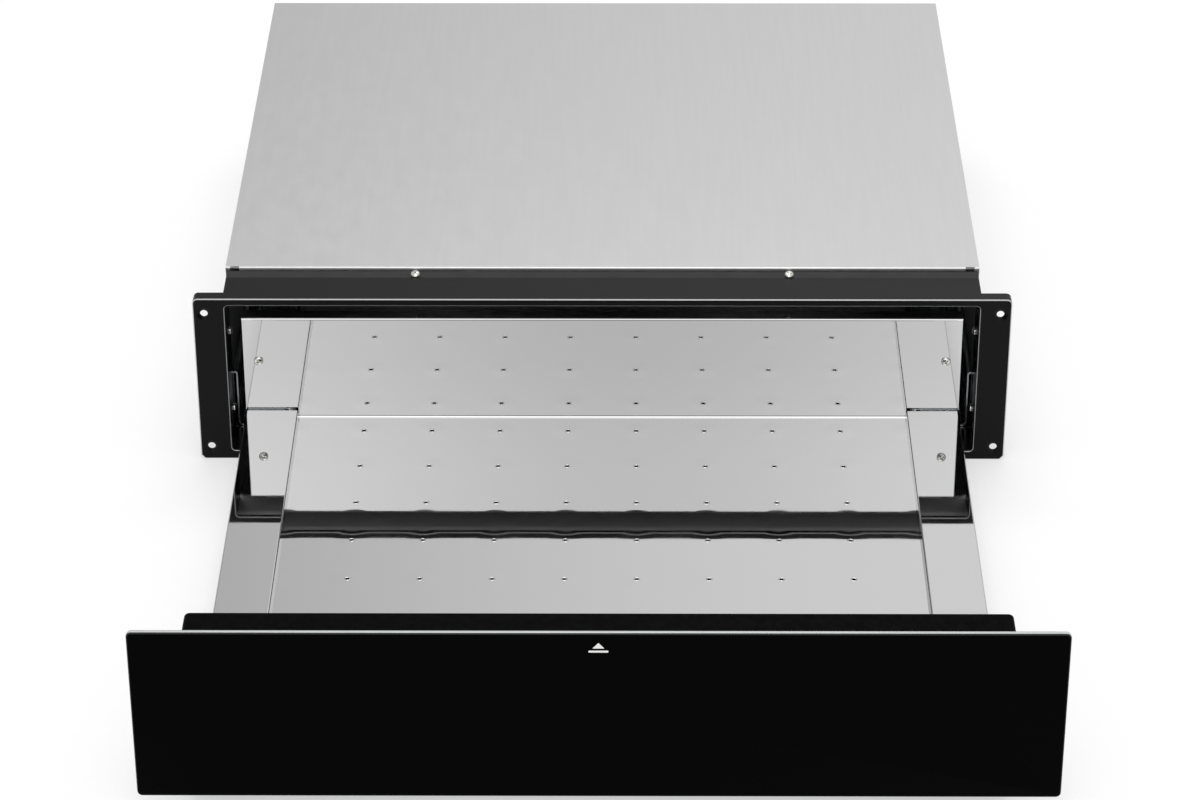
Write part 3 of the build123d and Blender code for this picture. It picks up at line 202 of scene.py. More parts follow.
def bands(tree, spacing, axis, profile):
    """Bands that follow each other along an axis, each spacing millimetres wide."""
    own = 2 * math.pi / 20             # metres from band to band at a scale of 1
    return add_node(tree, "ShaderNodeTexWave", {
        "Vector": place_of(tree), "Scale": own / (spacing * MM), "Distortion": 0.2, "Detail": 1.0},
        bands_direction=axis, wave_profile=profile).outputs["Fac"]


def mottle(tree, shader, base, factor, low, high):
    """Gives the shader the base colour, made low to high times as bright by a noise or by bands."""
    amount = spread(tree, factor, low, high)
    grey = add_node(tree, "ShaderNodeCombineColor", {"Red": amount, "Green": amount, "Blue": amount})
    mix = add_node(tree, "ShaderNodeMix", {0: 1.0, 6: base, 7: grey.outputs["Color"]},
                   data_type="RGBA", blend_type="MULTIPLY")
    tree.links.new(mix.outputs[2], shader.inputs["Base Color"])


def roughen(tree, shader, factor, low, high):
    """Gives the shader a roughness from low to high by a noise."""
    tree.links.new(spread(tree, factor, low, high), shader.inputs["Roughness"])


def relief(tree, shader, height, depth, normal=None):
    """Bumps the shader by a height from 0 to 1 that stands for depth millimetres."""
    inputs = {"Height": height, "Distance": depth * MM, "Strength": 1.0}
    if normal is not None:
        inputs["Normal"] = normal
    bump = add_node(tree, "ShaderNodeBump", inputs)
    tree.links.new(bump.outputs["Normal"], shader.inputs["Normal"])
    return bump.outputs["Normal"]


def galvanised_sheet():
    """Hot-dip galvanised steel, skin passed: an even satin grey, faintly streaked from front to back by the
    rolls."""
    material, tree, shader = new_surface("galvanised_sheet_skin_passed", {"Metallic": 1.0})
    streaks = grain(tree, 3.5, (1, 22, 1), 4.0)
    patches = grain(tree, 9, (1, 2.2, 1), 5.0)
    mottle(tree, shader, colours().galvanised, streaks, 0.985, 1.012)
    roughen(tree, shader, patches, 0.35, 0.39)
    relief(tree, shader, grain(tree, 0.6, (1, 6, 1), 2.0), 0.002)
    return material


def mirror_stainless(swell=None):
    """Polished ferritic stainless: a mirror with the long wave of the rolled sheet, and round each pressed
    hole the sheet is drawn in a little, which bends the lines that it reflects."""
    material, tree, shader = new_surface("stainless_mirror_polished", {
        "Base Color": colours().stainless, "Metallic": 1.0})
    wave = grain(tree, 55, (1, 1.6, 1), 1.0)
    normal = relief(tree, shader, wave, 0.03)
    roughen(tree, shader, grain(tree, 30), 0.02, 0.035)
    if swell:
        (start_x, pitch_x), (start_y, pitch_y), reach, depth = swell
        split = add_node(tree, "ShaderNodeSeparateXYZ", {0: place_of(tree)})
        gaps = []
        for axis, start, pitch in (("X", start_x, pitch_x), ("Y", start_y, pitch_y)):
            along = calculate(tree, "SUBTRACT", split.outputs[axis], start)
            gaps.append(calculate(tree, "PINGPONG", along, pitch / 2))
        flat = add_node(tree, "ShaderNodeCombineXYZ", {"X": gaps[0], "Y": gaps[1]})
        away = add_node(tree, "ShaderNodeVectorMath", {0: flat.outputs[0]}, operation="LENGTH")
        height = between(tree, away.outputs["Value"], 0.0, reach * MM, 1.0, 0.0)
        relief(tree, shader, height, depth, normal)
    return material


def plain_stainless():
    """The same mirror without the pressed holes."""
    material = mirror_stainless()
    material.name = "stainless_mirror_polished_plain"
    return material


def bright_zinc():
    """Roll formed steel with bright passivated zinc: cool grey, a little cloudy from the bath."""
    material, tree, shader = new_surface("steel_bright_zinc_plated", {"Metallic": 1.0})
    cloud = grain(tree, 7, detail=4.0)
    mottle(tree, shader, colours().zinc_plate, cloud, 0.90, 1.05)
    roughen(tree, shader, grain(tree, 2, (1, 12, 1)), 0.16, 0.30)
    soft_edge = add_node(tree, "ShaderNodeBevel", {"Radius": 0.35 * MM}, samples=6)
    tree.links.new(soft_edge.outputs["Normal"], shader.inputs["Normal"])
    return material


def baked_enamel():
    """Zinc coated steel with black paint baked on from outside: deep black with soft reflections and a fine
    orange peel. Painted sheen: the underside of the collar's top and the slanted pressed edges are given the
    grey and the metal of the zinc sheet, so that the underside looks lit and the edges shine."""
    facing_down, leaning, upright = (-0.7, -0.9), (-0.5, -0.6), (-0.8, -0.9)    # parts of the normal
    from_front, from_top, fade = 3 * MM, 15 * MM, 1 * MM
    edge_sheen_share, sheen_metallic, sheen_roughness = 0.85, 0.6, 0.6
    material, tree, shader = new_surface("steel_black_baked_enamel", {
        "IOR": 1.5, "Specular IOR Level": 0.12})
    facing = add_node(tree, "ShaderNodeSeparateXYZ", {
        0: add_node(tree, "ShaderNodeTexCoord").outputs["Normal"]}).outputs
    place = add_node(tree, "ShaderNodeSeparateXYZ", {0: place_of(tree)}).outputs
    lo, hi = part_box("front_frame")
    # painted light: faces that look down under the collar's top, behind the flange, get the zinc grey and
    # metal, as if lit from below
    painted_sheen = between(tree, facing["Z"], *facing_down, 0.0, 1.0)
    for axis, edge in (("Y", lo.y + from_front), ("Z", hi.z - from_top)):
        inside = between(tree, place[axis], edge, edge + fade, 0.0, 1.0)
        painted_sheen = calculate(tree, "MULTIPLY", painted_sheen, inside)
    # painted highlight: faces that lean to the front at the pressed edges get part of the zinc grey and
    # metal, so that they shine
    slant = between(tree, facing["Y"], *leaning, 0.0, edge_sheen_share)
    bevel = between(tree, facing["Y"], *upright, 1.0, 0.0)
    painted_sheen = calculate(tree, "MAXIMUM", painted_sheen, calculate(tree, "MULTIPLY", slant, bevel))
    # the painted sheen mixes the zinc grey into the black and raises the metal and the roughness
    coat = add_node(tree, "ShaderNodeMix", {0: painted_sheen, 6: colours().frame_paint, 7: colours().galvanised},
                    data_type="RGBA")
    tree.links.new(coat.outputs[2], shader.inputs["Base Color"])
    tree.links.new(between(tree, painted_sheen, 0.0, 1.0, 0.0, sheen_metallic), shader.inputs["Metallic"])
    peel = spread(tree, grain(tree, 14), 0.17, 0.24)
    tree.links.new(between(tree, painted_sheen, 0.0, 1.0, peel, sheen_roughness), shader.inputs["Roughness"])
    relief(tree, shader, grain(tree, 1.1, detail=1.0), 0.004)
    return material


def powder_coat():
    """Matt black powder coat on folded steel: a fine sandy texture of 0.4 mm grains, hardly shining."""
    material, tree, shader = new_surface("steel_black_powder_coated", {
        "Base Color": colours().front_paint, "IOR": 1.5, "Specular IOR Level": 0.02})
    roughen(tree, shader, grain(tree, 5), 0.52, 0.68)
    relief(tree, shader, grain(tree, 0.4, detail=2.0), 0.02)
    return material


def black_glass():
    """Tempered float glass with black ceramic enamel on its back: black and perfectly smooth."""
    material, tree, shader = new_surface("glass_tempered_black_enamelled", {
        "Base Color": colours().glass, "Roughness": 0.012, "IOR": 1.52, "Specular IOR Level": 0.02})
    relief(tree, shader, grain(tree, 160, detail=0.0), 0.02)
    return material


def polished_arris():
    """Bevel of the black glass, polished: black with the sheen of uncoated glass, faintly wavy lengthwise.
    """
    material, tree, shader = new_surface("glass_arris_polished", {
        "Base Color": linear("#161718"), "Roughness": 0.12, "IOR": 1.52, "Specular IOR Level": 0.3})
    relief(tree, shader, grain(tree, 25, detail=0.0), 0.02)
    return material


def ground_glass():
    """Edge of the glass as a diamond wheel leaves it: light grey, silky, with fine marks along the edge."""
    material, tree, shader = new_surface("glass_edge_ground", {"Roughness": 0.32, "IOR": 1.52})
    marks = grain(tree, 1.2, (9, 1, 9), 3.0)
    mottle(tree, shader, colours().glass_edge, marks, 0.92, 1.06)
    return material


def ceramic_ink():
    """White ceramic ink, screen printed and fired: flat white with a slight tooth from the 0.1 mm mesh."""
    material, tree, shader = new_surface("ceramic_ink_white_printed", {
        "Base Color": colours().mark, "Roughness": 0.45, "IOR": 1.5})
    relief(tree, shader, grain(tree, 0.25, detail=1.0), 0.004)
    return material


def nickel_plate():
    """Cold headed steel with nickel plate: warm bright metal, its tone and roughness varying a little in
    fine patches.
    """
    material, tree, shader = new_surface("steel_nickel_plated", {"Metallic": 1.0})
    cloud = grain(tree, 1.5)
    mottle(tree, shader, colours().nickel, cloud, 0.9, 1.04)
    roughen(tree, shader, grain(tree, 0.8), 0.08, 0.17)
    return material


def ground_steel():
    """Hardened bearing steel, centreless ground: very bright, with 0.2 mm marks round the roller."""
    material, tree, shader = new_surface("bearing_steel_ground", {
        "Base Color": linear("#C6C7C8"), "Metallic": 1.0, "Roughness": 0.1})
    relief(tree, shader, grain(tree, 0.2, (1, 20, 20), 1.0), 0.001)
    return material


def moulded_acetal():
    """Acetal, injection moulded: milky white that lets a little light in, with a waxy sheen."""
    material, tree, shader = new_surface("acetal_moulded", {
        "Base Color": colours().acetal, "IOR": 1.48, "Subsurface Weight": 0.15,
        "Subsurface Scale": 0.6 * MM})
    roughen(tree, shader, grain(tree, 6), 0.34, 0.46)
    return material


def moulded_plastic():
    """Glass filled polyamide, injection moulded in a spark eroded tool: dull black with 0.3 mm texture."""
    material, tree, shader = new_surface("polyamide_black_moulded", {
        "Base Color": colours().moulded_black, "IOR": 1.53, "Specular IOR Level": 0.4})
    roughen(tree, shader, grain(tree, 4), 0.42, 0.55)
    relief(tree, shader, grain(tree, 0.3, detail=2.0), 0.012)
    return material


def silicone_bead():
    """Black silicone, gunned and cured: rubbery, with slow ripples from the nozzle every 4 mm."""
    material, tree, shader = new_surface("silicone_black_cured", {
        "Base Color": linear("#18181A"), "Roughness": 0.5, "IOR": 1.41})
    relief(tree, shader, grain(tree, 4, detail=1.0), 0.1)
    return material


def moulded_rubber():
    """EPDM rubber, compression moulded: near black, chalky, with a faint bloom."""
    material, tree, shader = new_surface("epdm_rubber_moulded", {"Roughness": 0.7, "IOR": 1.5})
    bloom = grain(tree, 2.5, detail=4.0)
    mottle(tree, shader, linear("#1B1B1A"), bloom, 0.8, 1.3)
    relief(tree, shader, grain(tree, 0.5), 0.01)
    return material


def glazed_steatite():
    """Steatite ceramic, pressed and glazed: cream white under a thin clear glaze with pin specks."""
    material, tree, shader = new_surface("steatite_glazed", {
        "Roughness": 0.24, "IOR": 1.55, "Coat Weight": 0.5, "Coat Roughness": 0.08})
    specks = grain(tree, 1.0, detail=5.0)
    mottle(tree, shader, linear("#E4DFD2"), specks, 0.94, 1.02)
    return material


def lamp_lens():
    """Polycarbonate lens, moulded with red dye: clear and glossy, its red a little darker and lighter in
    patches.
    """
    material, tree, shader = new_surface("polycarbonate_red_moulded", {
        "Roughness": 0.08, "IOR": 1.58, "Transmission Weight": 0.35})
    mottle(tree, shader, colours().lens, grain(tree, 3), 0.8, 1.15)
    return material


def wound_copper():
    """Enamelled copper wire, wound in layers: its turns lie 0.7 mm apart along the upright limb."""
    material, tree, shader = new_surface("copper_wire_enamelled_wound", {"Metallic": 1.0, "Roughness": 0.28})
    turns = bands(tree, 0.7, "Z", "SIN")
    # painted shade: the bands that bump the turns also darken the colour in the grooves between them
    mottle(tree, shader, linear("#B4602C"), turns, 0.72, 1.0)
    relief(tree, shader, turns, 0.12)
    return material


def stacked_laminations():
    """Electrical steel, stamped and stacked: dark oiled grey with the 0.5 mm sheets showing at the edge."""
    material, tree, shader = new_surface("electrical_steel_stacked", {"Metallic": 1.0, "Roughness": 0.42})
    sheets = bands(tree, 0.5, "Y", "SAW")
    # the bands that bump the sheets also darken the colour: dark joints between the sheets, deepened by
    # painted shade at the foot of each step
    mottle(tree, shader, linear("#5A5B5E"), sheets, 0.78, 1.05)
    relief(tree, shader, sheets, 0.04)
    return material


def tinted_sheath():
    """Nickel alloy tube of the element, annealed and fired: heat tinted from straw to blue-grey."""
    material, tree, shader = new_surface("nickel_alloy_heat_tinted", {"Metallic": 1.0, "Roughness": 0.38})
    tint = add_node(tree, "ShaderNodeValToRGB", {"Fac": grain(tree, 28, detail=3.0)})
    tint.color_ramp.elements[0].color = linear("#57585E")
    tint.color_ramp.elements[0].position = 0.35
    tint.color_ramp.elements[1].color = linear("#8A7A5E")
    tint.color_ramp.elements[1].position = 0.65
    tree.links.new(tint.outputs["Color"], shader.inputs["Base Color"])
    relief(tree, shader, grain(tree, 0.7), 0.01)
    return material


def drawn_copper():
    """Drawn copper of the thermostat's feeler: warm metal, dulled in patches by handling."""
    material, tree, shader = new_surface("copper_drawn", {"Metallic": 1.0})
    tarnish = grain(tree, 5, (1, 3, 1), 4.0)
    mottle(tree, shader, linear("#C27A4C"), tarnish, 0.7, 1.05)
    roughen(tree, shader, tarnish, 0.2, 0.4)
    return material


made = {}      # the materials of stock(), by the name of the function that makes them


def stock(make, *arguments):
    """The material that a function makes, made once."""
    if make.__name__ not in made:
        made[make.__name__] = make(*arguments)
    return made[make.__name__]


def new_object(name, data):
    """An object with the given data, in the scene."""
    item = bpy.data.objects.new(name, data)
    bpy.context.scene.collection.objects.link(item)
    return item


def finish(nodes, make, *arguments):
    """Gives CAD nodes the material that a function makes."""
    material = stock(make, *arguments)
    for name in nodes:
        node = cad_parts[name]
        if not node.material_slots:
            node.data.materials.append(None)
        for place in node.material_slots:
            place.material = material


# ---------------------------------------------------------------- shapes

def solids(node):
    """The corners of each separate solid of a CAD node, in the drawer's frame."""
    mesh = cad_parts[node].data
    places = np.array([v.co for v in mesh.vertices]).round(6)
    corners, which = np.unique(places, axis=0, return_inverse=True)
    which = which.ravel()
    parent = list(range(len(corners)))

    def root(i):
        while parent[i] != i:
            parent[i] = parent[parent[i]]
            i = parent[i]
        return i

    for face in mesh.polygons:
        first = root(which[face.vertices[0]])
        for v in face.vertices[1:]:
            parent[root(which[v])] = first
    groups = {}
    for i in range(len(corners)):
        groups.setdefault(root(i), []).append(corners[i])
    return [np.array(g) for g in groups.values()]


def box_of(points):
    """The low and the high corner of the box round some points."""
    return Vector(points.min(axis=0)), Vector(points.max(axis=0))


def turned_axis(points):
    """The middle and the axis of a turned solid, from its corners: the one direction whose spread no other
    direction shares."""
    middle = points.mean(axis=0)
    spreads, directions = np.linalg.eigh(np.cov((points - middle).T))
    odd = 0 if abs(spreads[0] - spreads[1]) > abs(spreads[2] - spreads[1]) else 2
    return Vector(middle), Vector(directions[:, odd])


def upright_on(point, direction):
    """The matrix that puts a piece made about +Z on a point, with +Z along a direction."""
    return Matrix.Translation(point) @ Vector(direction).to_track_quat("Z", "Y").to_matrix().to_4x4()


def back_from(lo, hi):
    """The matrix that puts a piece made about +Z on the front of a box, with +Z to the back."""
    return upright_on(((lo.x + hi.x) / 2, lo.y, (lo.z + hi.z) / 2), (0, 1, 0))


def out_of(x, y, z):
    """The matrix that stands an outline on an upright face at a point, with +Z to the front."""
    return Matrix.Translation((x, y, z)) @ Matrix.Rotation(math.radians(90), 4, "X")


def quarter(steps):
    """The cosines and sines of a quarter turn in equal steps, without its two ends."""
    angles = [math.pi / 2 * k / steps for k in range(1, steps)]
    return [(math.cos(a), math.sin(a)) for a in angles]


def turn(bm, profile, place, sides, closed=False, material=0):
    """Adds a profile of (radius, height) pairs turned about Z. A closed profile joins its ends to a ring."""
    nothing = 1e-7
    rings = []
    for radius, height in profile:
        if radius < nothing:
            rings.append([bm.verts.new(place @ Vector((0, 0, height)))])
            continue
        rings.append([bm.verts.new(place @ Vector((radius * math.cos(a), radius * math.sin(a), height)))
                      for a in (2 * math.pi * k / sides for k in range(sides))])
    pairs = list(zip(rings, rings[1:])) + ([(rings[-1], rings[0])] if closed else [])
    for low, high in pairs:
        for k in range(sides):
            n = (k + 1) % sides
            if len(low) == 1:
                face = bm.faces.new((low[0], high[n], high[k]))
            elif len(high) == 1:
                face = bm.faces.new((low[k], low[n], high[0]))
            else:
                face = bm.faces.new((low[k], low[n], high[n], high[k]))
            face.material_index = material


def prism(bm, outline, steps, place):
    """Adds an outline of (x, y) pairs lofted through steps of (inset, height), closed at both ends.
    An inset moves each point towards the outline's middle line, so corners stay round."""
    rings = []
    count = len(outline)
    for inset, height in steps:
        ring = []
        for i, (x, y) in enumerate(outline):
            before = Vector(outline[i - 1])
            after = Vector(outline[(i + 1) % count])
            along = (after - before).normalized()
            inward = Vector((-along.y, along.x))
            corner = Vector((x + inward.x * inset, y + inward.y * inset, height))
            ring.append(bm.verts.new(place @ corner))
        rings.append(ring)
    for low, high in zip(rings, rings[1:]):
        for k in range(count):
            n = (k + 1) % count
            bm.faces.new((low[k], low[n], high[n], high[k]))
    bm.faces.new(list(reversed(rings[0])))
    bm.faces.new(rings[-1])


def rounded_outline(width, height, radius, steps=6):
    """A rectangle about the origin with round corners, anticlockwise."""
    outline = []
    for corner, (sx, sy) in enumerate(((1, 1), (-1, 1), (-1, -1), (1, -1))):
        middle = (sx * (width / 2 - radius), sy * (height / 2 - radius))
        for k in range(steps + 1):
            a = math.pi / 2 * (corner + k / steps)
            outline.append((middle[0] + radius * math.cos(a), middle[1] + radius * math.sin(a)))
    return outline


def as_mesh(bm, name, smooth_angle=35.0):
    """Ends a bmesh as a mesh with even normals, smooth up to an angle in degrees."""
    bmesh.ops.recalc_face_normals(bm, faces=bm.faces)
    mesh = bpy.data.meshes.new(name)
    bm.to_mesh(mesh)
    bm.free()
    mesh.shade_smooth()
    mesh.set_sharp_from_angle(angle=math.radians(smooth_angle))
    return mesh


def add_piece(name, mesh, body, makers, replaces=()):
    """Puts a mesh in the scene as a piece that rides on a CAD body, with the materials that functions
    make."""
    piece = new_object(name, mesh)
    for make in makers:
        mesh.materials.append(stock(make))
    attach(piece, body)
    if replaces:
        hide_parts(*replaces)


def carve(body, cutter):
    """The mesh of body with the room of cutter taken out."""
    block = new_object("carve_block", body)
    tool = new_object("carve_tool", cutter)
    cut = block.modifiers.new("cut", "BOOLEAN")
    cut.operation = "DIFFERENCE"
    cut.solver = "EXACT"
    cut.object = tool
    graph = bpy.context.evaluated_depsgraph_get()
    result = bpy.data.meshes.new_from_object(block.evaluated_get(graph))
    bpy.data.objects.remove(block)
    bpy.data.objects.remove(tool)
    return result


def screw_mesh(head_radius, head_height, shank_radius, shank_length, pitch, sides):
    """A pan head screw about Z, its seat at 0 and its head above, with a cross recess and ring threads."""
    root, core = 0.78 * shank_radius, 0.8 * shank_radius
    tip, groove, runout = 0.55 * shank_radius, 0.45 * pitch, 0.4 * pitch
    seat, rim, shoulder = 0.96 * head_radius, 0.08 * head_height, 0.32 * head_height
    profile = [(0.0, -shank_length), (tip, -shank_length)]
    crest = -shank_length + pitch
    while crest < -pitch:
        profile += [(root, crest - groove), (shank_radius, crest)]
        crest += pitch
    profile += [(core, -runout), (core, 0.0), (seat, 0.0), (head_radius, rim), (head_radius, shoulder)]
    profile += [(head_radius * c, shoulder + (head_height - shoulder) * s) for c, s in quarter(7)]
    profile.append((0.0, head_height))
    block = bmesh.new()
    turn(block, profile, Matrix.Identity(4), sides)
    return carve(as_mesh(block, "screw_block"), cross_mesh(head_radius, head_height))


def cross_mesh(head_radius, head_height):
    """The room of a cross recess, which tapers down into the head and stands out above it."""
    reach, half = 0.56 * head_radius, 0.15 * head_radius
    bottom, top = (0.42, 0.3 * head_height), (1.08, 1.1 * head_height)
    cross = [(reach, -half), (reach, half), (half, half), (half, reach), (-half, reach), (-half, half),
             (-reach, half), (-reach, -half), (-half, -half), (-half, -reach), (half, -reach), (half, -half)]
    cutter = bmesh.new()
    low, high = [[cutter.verts.new((x * scale, y * scale, height)) for x, y in cross]
                 for scale, height in (bottom, top)]
    for k in range(len(cross)):
        n = (k + 1) % len(cross)
        cutter.faces.new((low[k], low[n], high[n], high[k]))
    cutter.faces.new(list(reversed(low)))
    cutter.faces.new(high)
    return as_mesh(cutter, "screw_cross")


def hole_centres():
    """The middles of the floor's holes: clusters of the corners that lie inside the floor's top face."""
    lo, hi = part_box("tray")
    end, side = 12 * MM, 48 * MM       # folds at the floor's ends, and the room of its sides
    flat, reach = 0.02 * MM, 6 * MM    # corners of one hole are this level and this near to each other
    fewest = 5
    corners = np.array([v.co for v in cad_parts["tray"].data.vertices]).round(6)
    inner = corners[(np.abs(corners[:, 0]) < hi.x - side)
                    & (corners[:, 1] < hi.y - end) & (corners[:, 1] > lo.y + end)]
    floor_top = inner[:, 2].max()
    groups = []
    for corner in np.unique(inner[inner[:, 2] > floor_top - flat], axis=0):
        for group in groups:
            if np.linalg.norm(group[0][:2] - corner[:2]) < reach:
                group.append(corner)
                break
        else:
            groups.append([corner])
    return [Vector(np.mean(g, axis=0)) for g in groups if len(g) >= fewest]


def hole_lines():
    """The X of each column of floor holes and the Y of each row."""
    centres = hole_centres()
    columns = sorted({round(c.x, 4) for c in centres})
    rows = sorted({round(c.y, 4) for c in centres})
    return columns, rows


# ---------------------------------------------------------------- studio

# Where the light tent's brightness changes, from and to, as parts of a direction of length 1.
BEHIND_EDGE = (-0.24, 0.09)        # across, from the left to the right behind
PANEL_EDGE = (0.0, 0.12)           # aside, from straight ahead to the panels in front
PANEL_RISE = (0.485, 0.525)        # up, from the camera's angle to a little above it
FRONT_TO_BACK = (-0.25, 0.25)
TO_THE_SIDES = (0.25, 0.5)
TO_THE_TOP = (0.6, 0.75)

# Lamps: name, the setting with the brightness, width and length, place, and what it is turned to.
LAMPS = (("overhead_softbox", "softbox", (1.0, 2.6), (0, -0.5, 2.1), None),
         ("rear_panel_light", "rear_panel", (1.5, 0.6), (0, 1.2, 2.1), (0, 0, 0.13)))

# The camera as fitted to the photograph: millimetres, metres and degrees.
SENSOR_WIDTH = 36.0
LENS = 116.343
CAMERA_PLACE = (0.01477, -2.47245, 1.49139)
TURN_DOWN, TURN_SIDE, ROLL = 30.33, 0.38, -0.12

FLOOR_HALF = 6.0                   # half the width of the paper
FLOOR_GAP = 0.2 * MM               # how far it lies below the drawer


def light_tent(studio):
    """The room round the drawer: low behind it darker on the left, and in front two white panels."""
    world = bpy.data.worlds.new("light_tent")
    world.use_nodes = True
    tree = world.node_tree
    way = add_node(tree, "ShaderNodeSeparateXYZ", {
        0: add_node(tree, "ShaderNodeTexCoord").outputs["Generated"]}).outputs
    aside = calculate(tree, "ABSOLUTE", way["X"])
    back = between(tree, way["X"], *BEHIND_EDGE, studio.back_left, studio.back_right)
    front = between(tree, aside, *PANEL_EDGE, studio.front_middle, studio.front_panels)
    rise = between(tree, way["Z"], *PANEL_RISE, 1.0, studio.upward)
    front = calculate(tree, "MULTIPLY", front, rise)
    room = between(tree, way["Y"], *FRONT_TO_BACK, front, back)
    room = between(tree, aside, *TO_THE_SIDES, room, studio.around)
    room = between(tree, way["Z"], *TO_THE_TOP, room, studio.above)
    background = tree.nodes["Background"]
    tree.links.new(room, background.inputs["Strength"])
    background.inputs["Color"].default_value = (1, 1, 1, 1)
    return world


def pale_paper(studio):
    """Seamless background paper: matt and white to the eye and in mirrors, with the drawer's shadow kept."""
    material, tree, shader = new_surface("paper_white_seamless", {
        "Base Color": studio.floor, "Roughness": 0.9, "Specular IOR Level": 0.0})
    relief(tree, shader, grain(tree, 3), 0.02)
    rays = add_node(tree, "ShaderNodeLightPath").outputs
    seen = rays["Is Camera Ray"]
    for kind in ("Is Glossy Ray", "Is Transmission Ray"):
        seen = calculate(tree, "MAXIMUM", seen, rays[kind])
    share = calculate(tree, "MULTIPLY", seen, 1 - studio.shadow_share)
    white = add_node(tree, "ShaderNodeEmission", {"Color": (1, 1, 1, 1), "Strength": 1.0})
    both = add_node(tree, "ShaderNodeMixShader", {0: share, 1: shader.outputs[0], 2: white.outputs[0]})
    tree.links.new(both.outputs[0], tree.nodes["Material Output"].inputs["Surface"])
    return material


def lay_floor(studio):
    """Lays the paper under the drawer."""
    bm = bmesh.new()
    bmesh.ops.create_grid(bm, x_segments=1, y_segments=1, size=FLOOR_HALF)
    floor = new_object("floor", bpy.data.meshes.new("floor"))
    bm.to_mesh(floor.data)
    bm.free()
    floor.location.z = -FLOOR_GAP
    floor.data.materials.append(pale_paper(studio))


def hang_lamp(name, brightness, size, place, aim):
    """Hangs an area lamp that faces straight down, or a point. Its face is as bright as a white of that
    brightness."""
    lamp = bpy.data.lights.new(name, "AREA")
    lamp.shape = "RECTANGLE"
    lamp.size, lamp.size_y = size
    lamp.energy = brightness * math.pi * lamp.size * lamp.size_y
    box = new_object(name, lamp)
    box.location = place
    if aim:
        box.rotation_euler = (Vector(place) - Vector(aim)).to_track_quat("Z", "Y").to_euler()


def stand_camera():
    """Stands the camera where the photograph was taken."""
    camera = bpy.data.cameras.new("camera")
    camera.sensor_fit = "HORIZONTAL"
    camera.sensor_width = SENSOR_WIDTH
    camera.lens = LENS
    view = new_object("camera", camera)
    view.matrix_world = (Matrix.Translation(CAMERA_PLACE)
                         @ Matrix.Rotation(math.radians(TURN_SIDE), 4, "Z")
                         @ Matrix.Rotation(math.radians(90 - TURN_DOWN), 4, "X")
                         @ Matrix.Rotation(math.radians(ROLL), 4, "Z"))
    bpy.context.scene.camera = view


# ---------------------------------------------------------------- operators

class DRAWER_OT_finish_housing(Operator):
    """Give the front frame, the galvanised sheets and the parts on the rear panel their finish"""
    bl_idname = "drawer.finish_housing"
    bl_label = "Finish Housing"

    def execute(self, context):
        finish(["front_frame"], baked_enamel)
        finish(["housing_base", "top_cover", "rear_panel"], galvanised_sheet)
        finish(["latch_body", "latch_plunger"], moulded_plastic)
        finish(["terminal_block"], glazed_steatite)
        return {"FINISHED"}


class DRAWER_OT_finish_tray(Operator):
    """Give the tray, its strips, its brackets and the front box their finish"""
    bl_idname = "drawer.finish_tray"
    bl_label = "Finish Tray"

    def execute(self, context):
        columns, rows = hole_lines()
        reach, depth = 14, 0.035       # millimetres
        swell = ((columns[0], columns[1] - columns[0]), (rows[0], rows[1] - rows[0]), reach, depth)
        finish(["tray"], mirror_stainless, swell)
        finish(["side_strip_left", "side_strip_right"], plain_stainless)
        finish(["sub_front"], powder_coat)
        finish(["rear_bracket_left", "rear_bracket_right", "latch_striker"], bright_zinc)
        finish(["glass_adhesive"], silicone_bead)
        return {"FINISHED"}


class DRAWER_OT_press_hole_rims(Operator):
    """Press a small raised rim round each hole of the tray's floor"""
    bl_idname = "drawer.press_hole_rims"
    bl_label = "Press Hole Rims"

    def execute(self, context):
        size = sizes()
        lift, depth, collar, under = 0.004 * MM, 0.5 * MM, 0.15 * MM, 0.05 * MM
        inner = 1.35 * MM
        outer = inner + size.rim_width
        crest = (inner + outer) / 2
        slope = 0.7 * size.rim_rise
        profile = [(outer, lift), (0.5 * (outer + crest), slope), (crest, size.rim_rise),
                   (0.5 * (inner + crest), slope), (inner, 0.0), (inner, -depth), (inner + collar, -depth),
                   (inner + collar + under, -under), (outer - 2 * under, -under)]
        bm = bmesh.new()
        for centre in hole_centres():
            turn(bm, profile, Matrix.Translation(centre), SMALL_SIDES, closed=True)
        rims = as_mesh(bm, "floor_hole_rims", 50.0)
        add_piece("floor_hole_rims", rims, "drawer", [plain_stainless])
        return {"FINISHED"}


